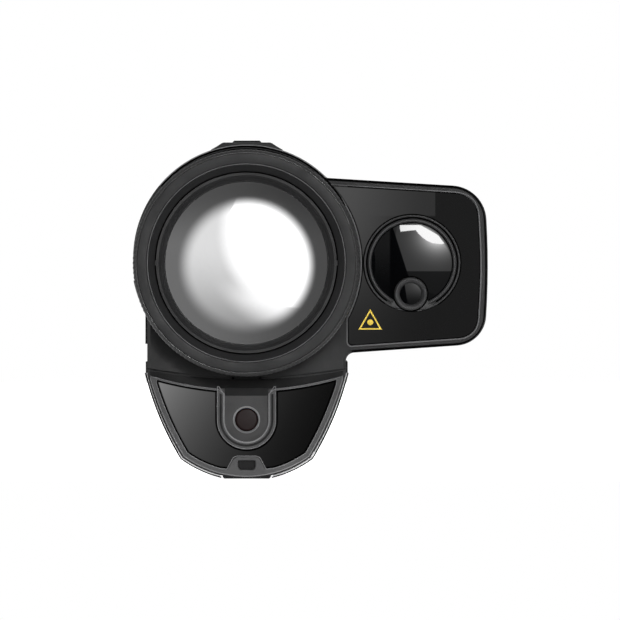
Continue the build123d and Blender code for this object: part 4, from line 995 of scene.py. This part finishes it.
def soften_edges():
    """Rounds the sharp edges of the parts that are shown as they were designed."""
    for name in ("front_frame", "main_body", "rear_cap", "lrf_housing", "keypad_deck", "side_grips",
                 "flank_skins", "button_power", "button_up", "button_menu", "button_down", "battery_case",
                 "usb_door"):
        weld = NODES[name].modifiers.new("weld", "WELD")
        weld.merge_threshold = mm(WELD)
        soften = NODES[name].modifiers.new("soften", "BEVEL")
        soften.width = mm(0.14)
        soften.segments = 2
        soften.limit_method = "ANGLE"
        soften.angle_limit = math.radians(38)
        soften.harden_normals = True


piping()
deck_highlight()
soften_edges()


# ---- Camera, floor and light ---------------------------------------------------------------

PICTURE_CENTRE = Vector((mm(14.75), 0.0, mm(39.3)))
CAMERA_DISTANCE = 3.0
FRONT_DEPTH = mm(81)                 # the picture's scale holds at the front of the rangefinder
FIELD = mm(144.15)                   # what the picture is wide there
SENSOR = 36.0
WHITE = (1, 1, 1, 1)


def camera():
    """The camera, level and square to the front."""
    data = bpy.data.cameras.new("camera")
    data.sensor_width = SENSOR
    data.lens = SENSOR * CAMERA_DISTANCE / FIELD
    data.clip_end = 50.0
    made = bpy.data.objects.new("camera", data)
    made.location = PICTURE_CENTRE + Vector((0, -CAMERA_DISTANCE - FRONT_DEPTH, 0))
    made.rotation_euler = (math.radians(90), 0, 0)
    bpy.context.scene.collection.objects.link(made)
    bpy.context.scene.camera = made


def surroundings():
    """An even white world."""
    world = bpy.data.worlds.new("studio")
    world.use_nodes = True
    world.node_tree.nodes["Background"].inputs["Color"].default_value = WHITE
    world.node_tree.nodes["Background"].inputs["Strength"].default_value = 1.0
    bpy.context.scene.world = world
    bpy.context.scene.view_settings.view_transform = "Standard"


def lit_look(name, color, roughness):
    """Material without gloss that gives off white light; its strength is 1 until something drives it."""
    look = bpy.data.materials.new(name)
    look.use_nodes = True
    shader = look.node_tree.nodes["Principled BSDF"]
    shader.inputs["Base Color"].default_value = color
    shader.inputs["Roughness"].default_value = roughness
    shader.inputs["Specular IOR Level"].default_value = 0.0
    shader.inputs["Emission Color"].default_value = WHITE
    shader.inputs["Emission Strength"].default_value = 1.0
    return look


def add_floor():
    """Plain pale floor just below the foot."""
    bpy.ops.mesh.primitive_plane_add(size=1.0, location=(0, 1.9, mm(-0.2)))
    floor = bpy.context.object
    floor.name = "floor"
    floor.scale = (4.0, 4.0, 1.0)
    floor.data.materials.append(lit_look("floor", (0.9, 0.9, 0.9, 1), 0.95))


def card(name, corners, distance, look):
    """A light card that faces the object and isn't seen by the camera itself; sizes in metres."""
    mesh = bpy.data.meshes.new(name)
    mesh.from_pydata([(x, 0.0, z) for x, z in corners], [], [tuple(range(len(corners)))])
    mesh.materials.append(look)
    made = bpy.data.objects.new(name, mesh)
    made.location = (0.0, -distance, height(0))
    bpy.context.scene.collection.objects.link(made)
    made.visible_camera = False


def studio_wall():
    """The wall behind the camera: a round softbox, brighter on its right, in front of dark cloth."""
    wall = Picture(lit_look("studio_wall", (0.01, 0.01, 0.01, 1), 1.0))
    inside = wall.ramp(wall.distance(-0.01, -0.05), 1.5, 1.1)
    from_right = wall.distance(1.26, 0.69)
    soft_edge = wall.blend(wall.ramp(wall.z, -0.2, -0.8), wall.ramp(from_right, 1.93, 1.6),
                           wall.ramp(from_right, 2.35, 1.62))
    left_side = wall.blend(soft_edge, wall.ramp(wall.z, -1.6, 0.5, 0.3, 0.77), 1.12)
    glow = wall.math("EXPONENT", wall.product(wall.distance(0.75, 0.8), -5.46))
    limit = wall.ramp(wall.distance(0.0, 0.0), 1.0, 1.18, 27.0, 2.0)
    right_side = wall.math("MINIMUM", wall.total(wall.product(glow, 112.0), 1.7), limit)
    box = wall.blend(wall.ramp(from_right, 1.66, 1.62), left_side, right_side)
    cloth = wall.product(wall.ramp(wall.x, -1.6, 1.6, 0.15, 0.065), wall.ramp(wall.z, 0.3, 1.6, 1.0, 0.5))
    wall.drive("Emission Strength", wall.blend(inside, cloth, box))
    card("studio_wall", [(-5.0, -5.0), (5.0, -5.0), (5.0, 5.0), (-5.0, 5.0)], 3.45, wall.look)


def key_softbox():
    """The key light: a bent strip high on the right."""
    key = Picture(lit_look("key_softbox", (0.01, 0.01, 0.01, 1), 1.0))
    key.drive("Emission Strength", key.ramp(key.distance(0.6, 0.9), 1.4, 0.2, 38.0, 50.0))
    strip = [(-0.25, 0.87), (0.16, 0.915), (0.25, 0.80), (0.34, 0.71), (0.46, 0.62), (0.61, 0.555),
             (0.86, 0.53), (0.95, 0.55), (0.78, 0.78), (0.29, 1.06), (-0.28, 1.06)]
    card("key_softbox", strip, 3.44, key.look)


camera()
surroundings()
add_floor()
studio_wall()
key_softbox()
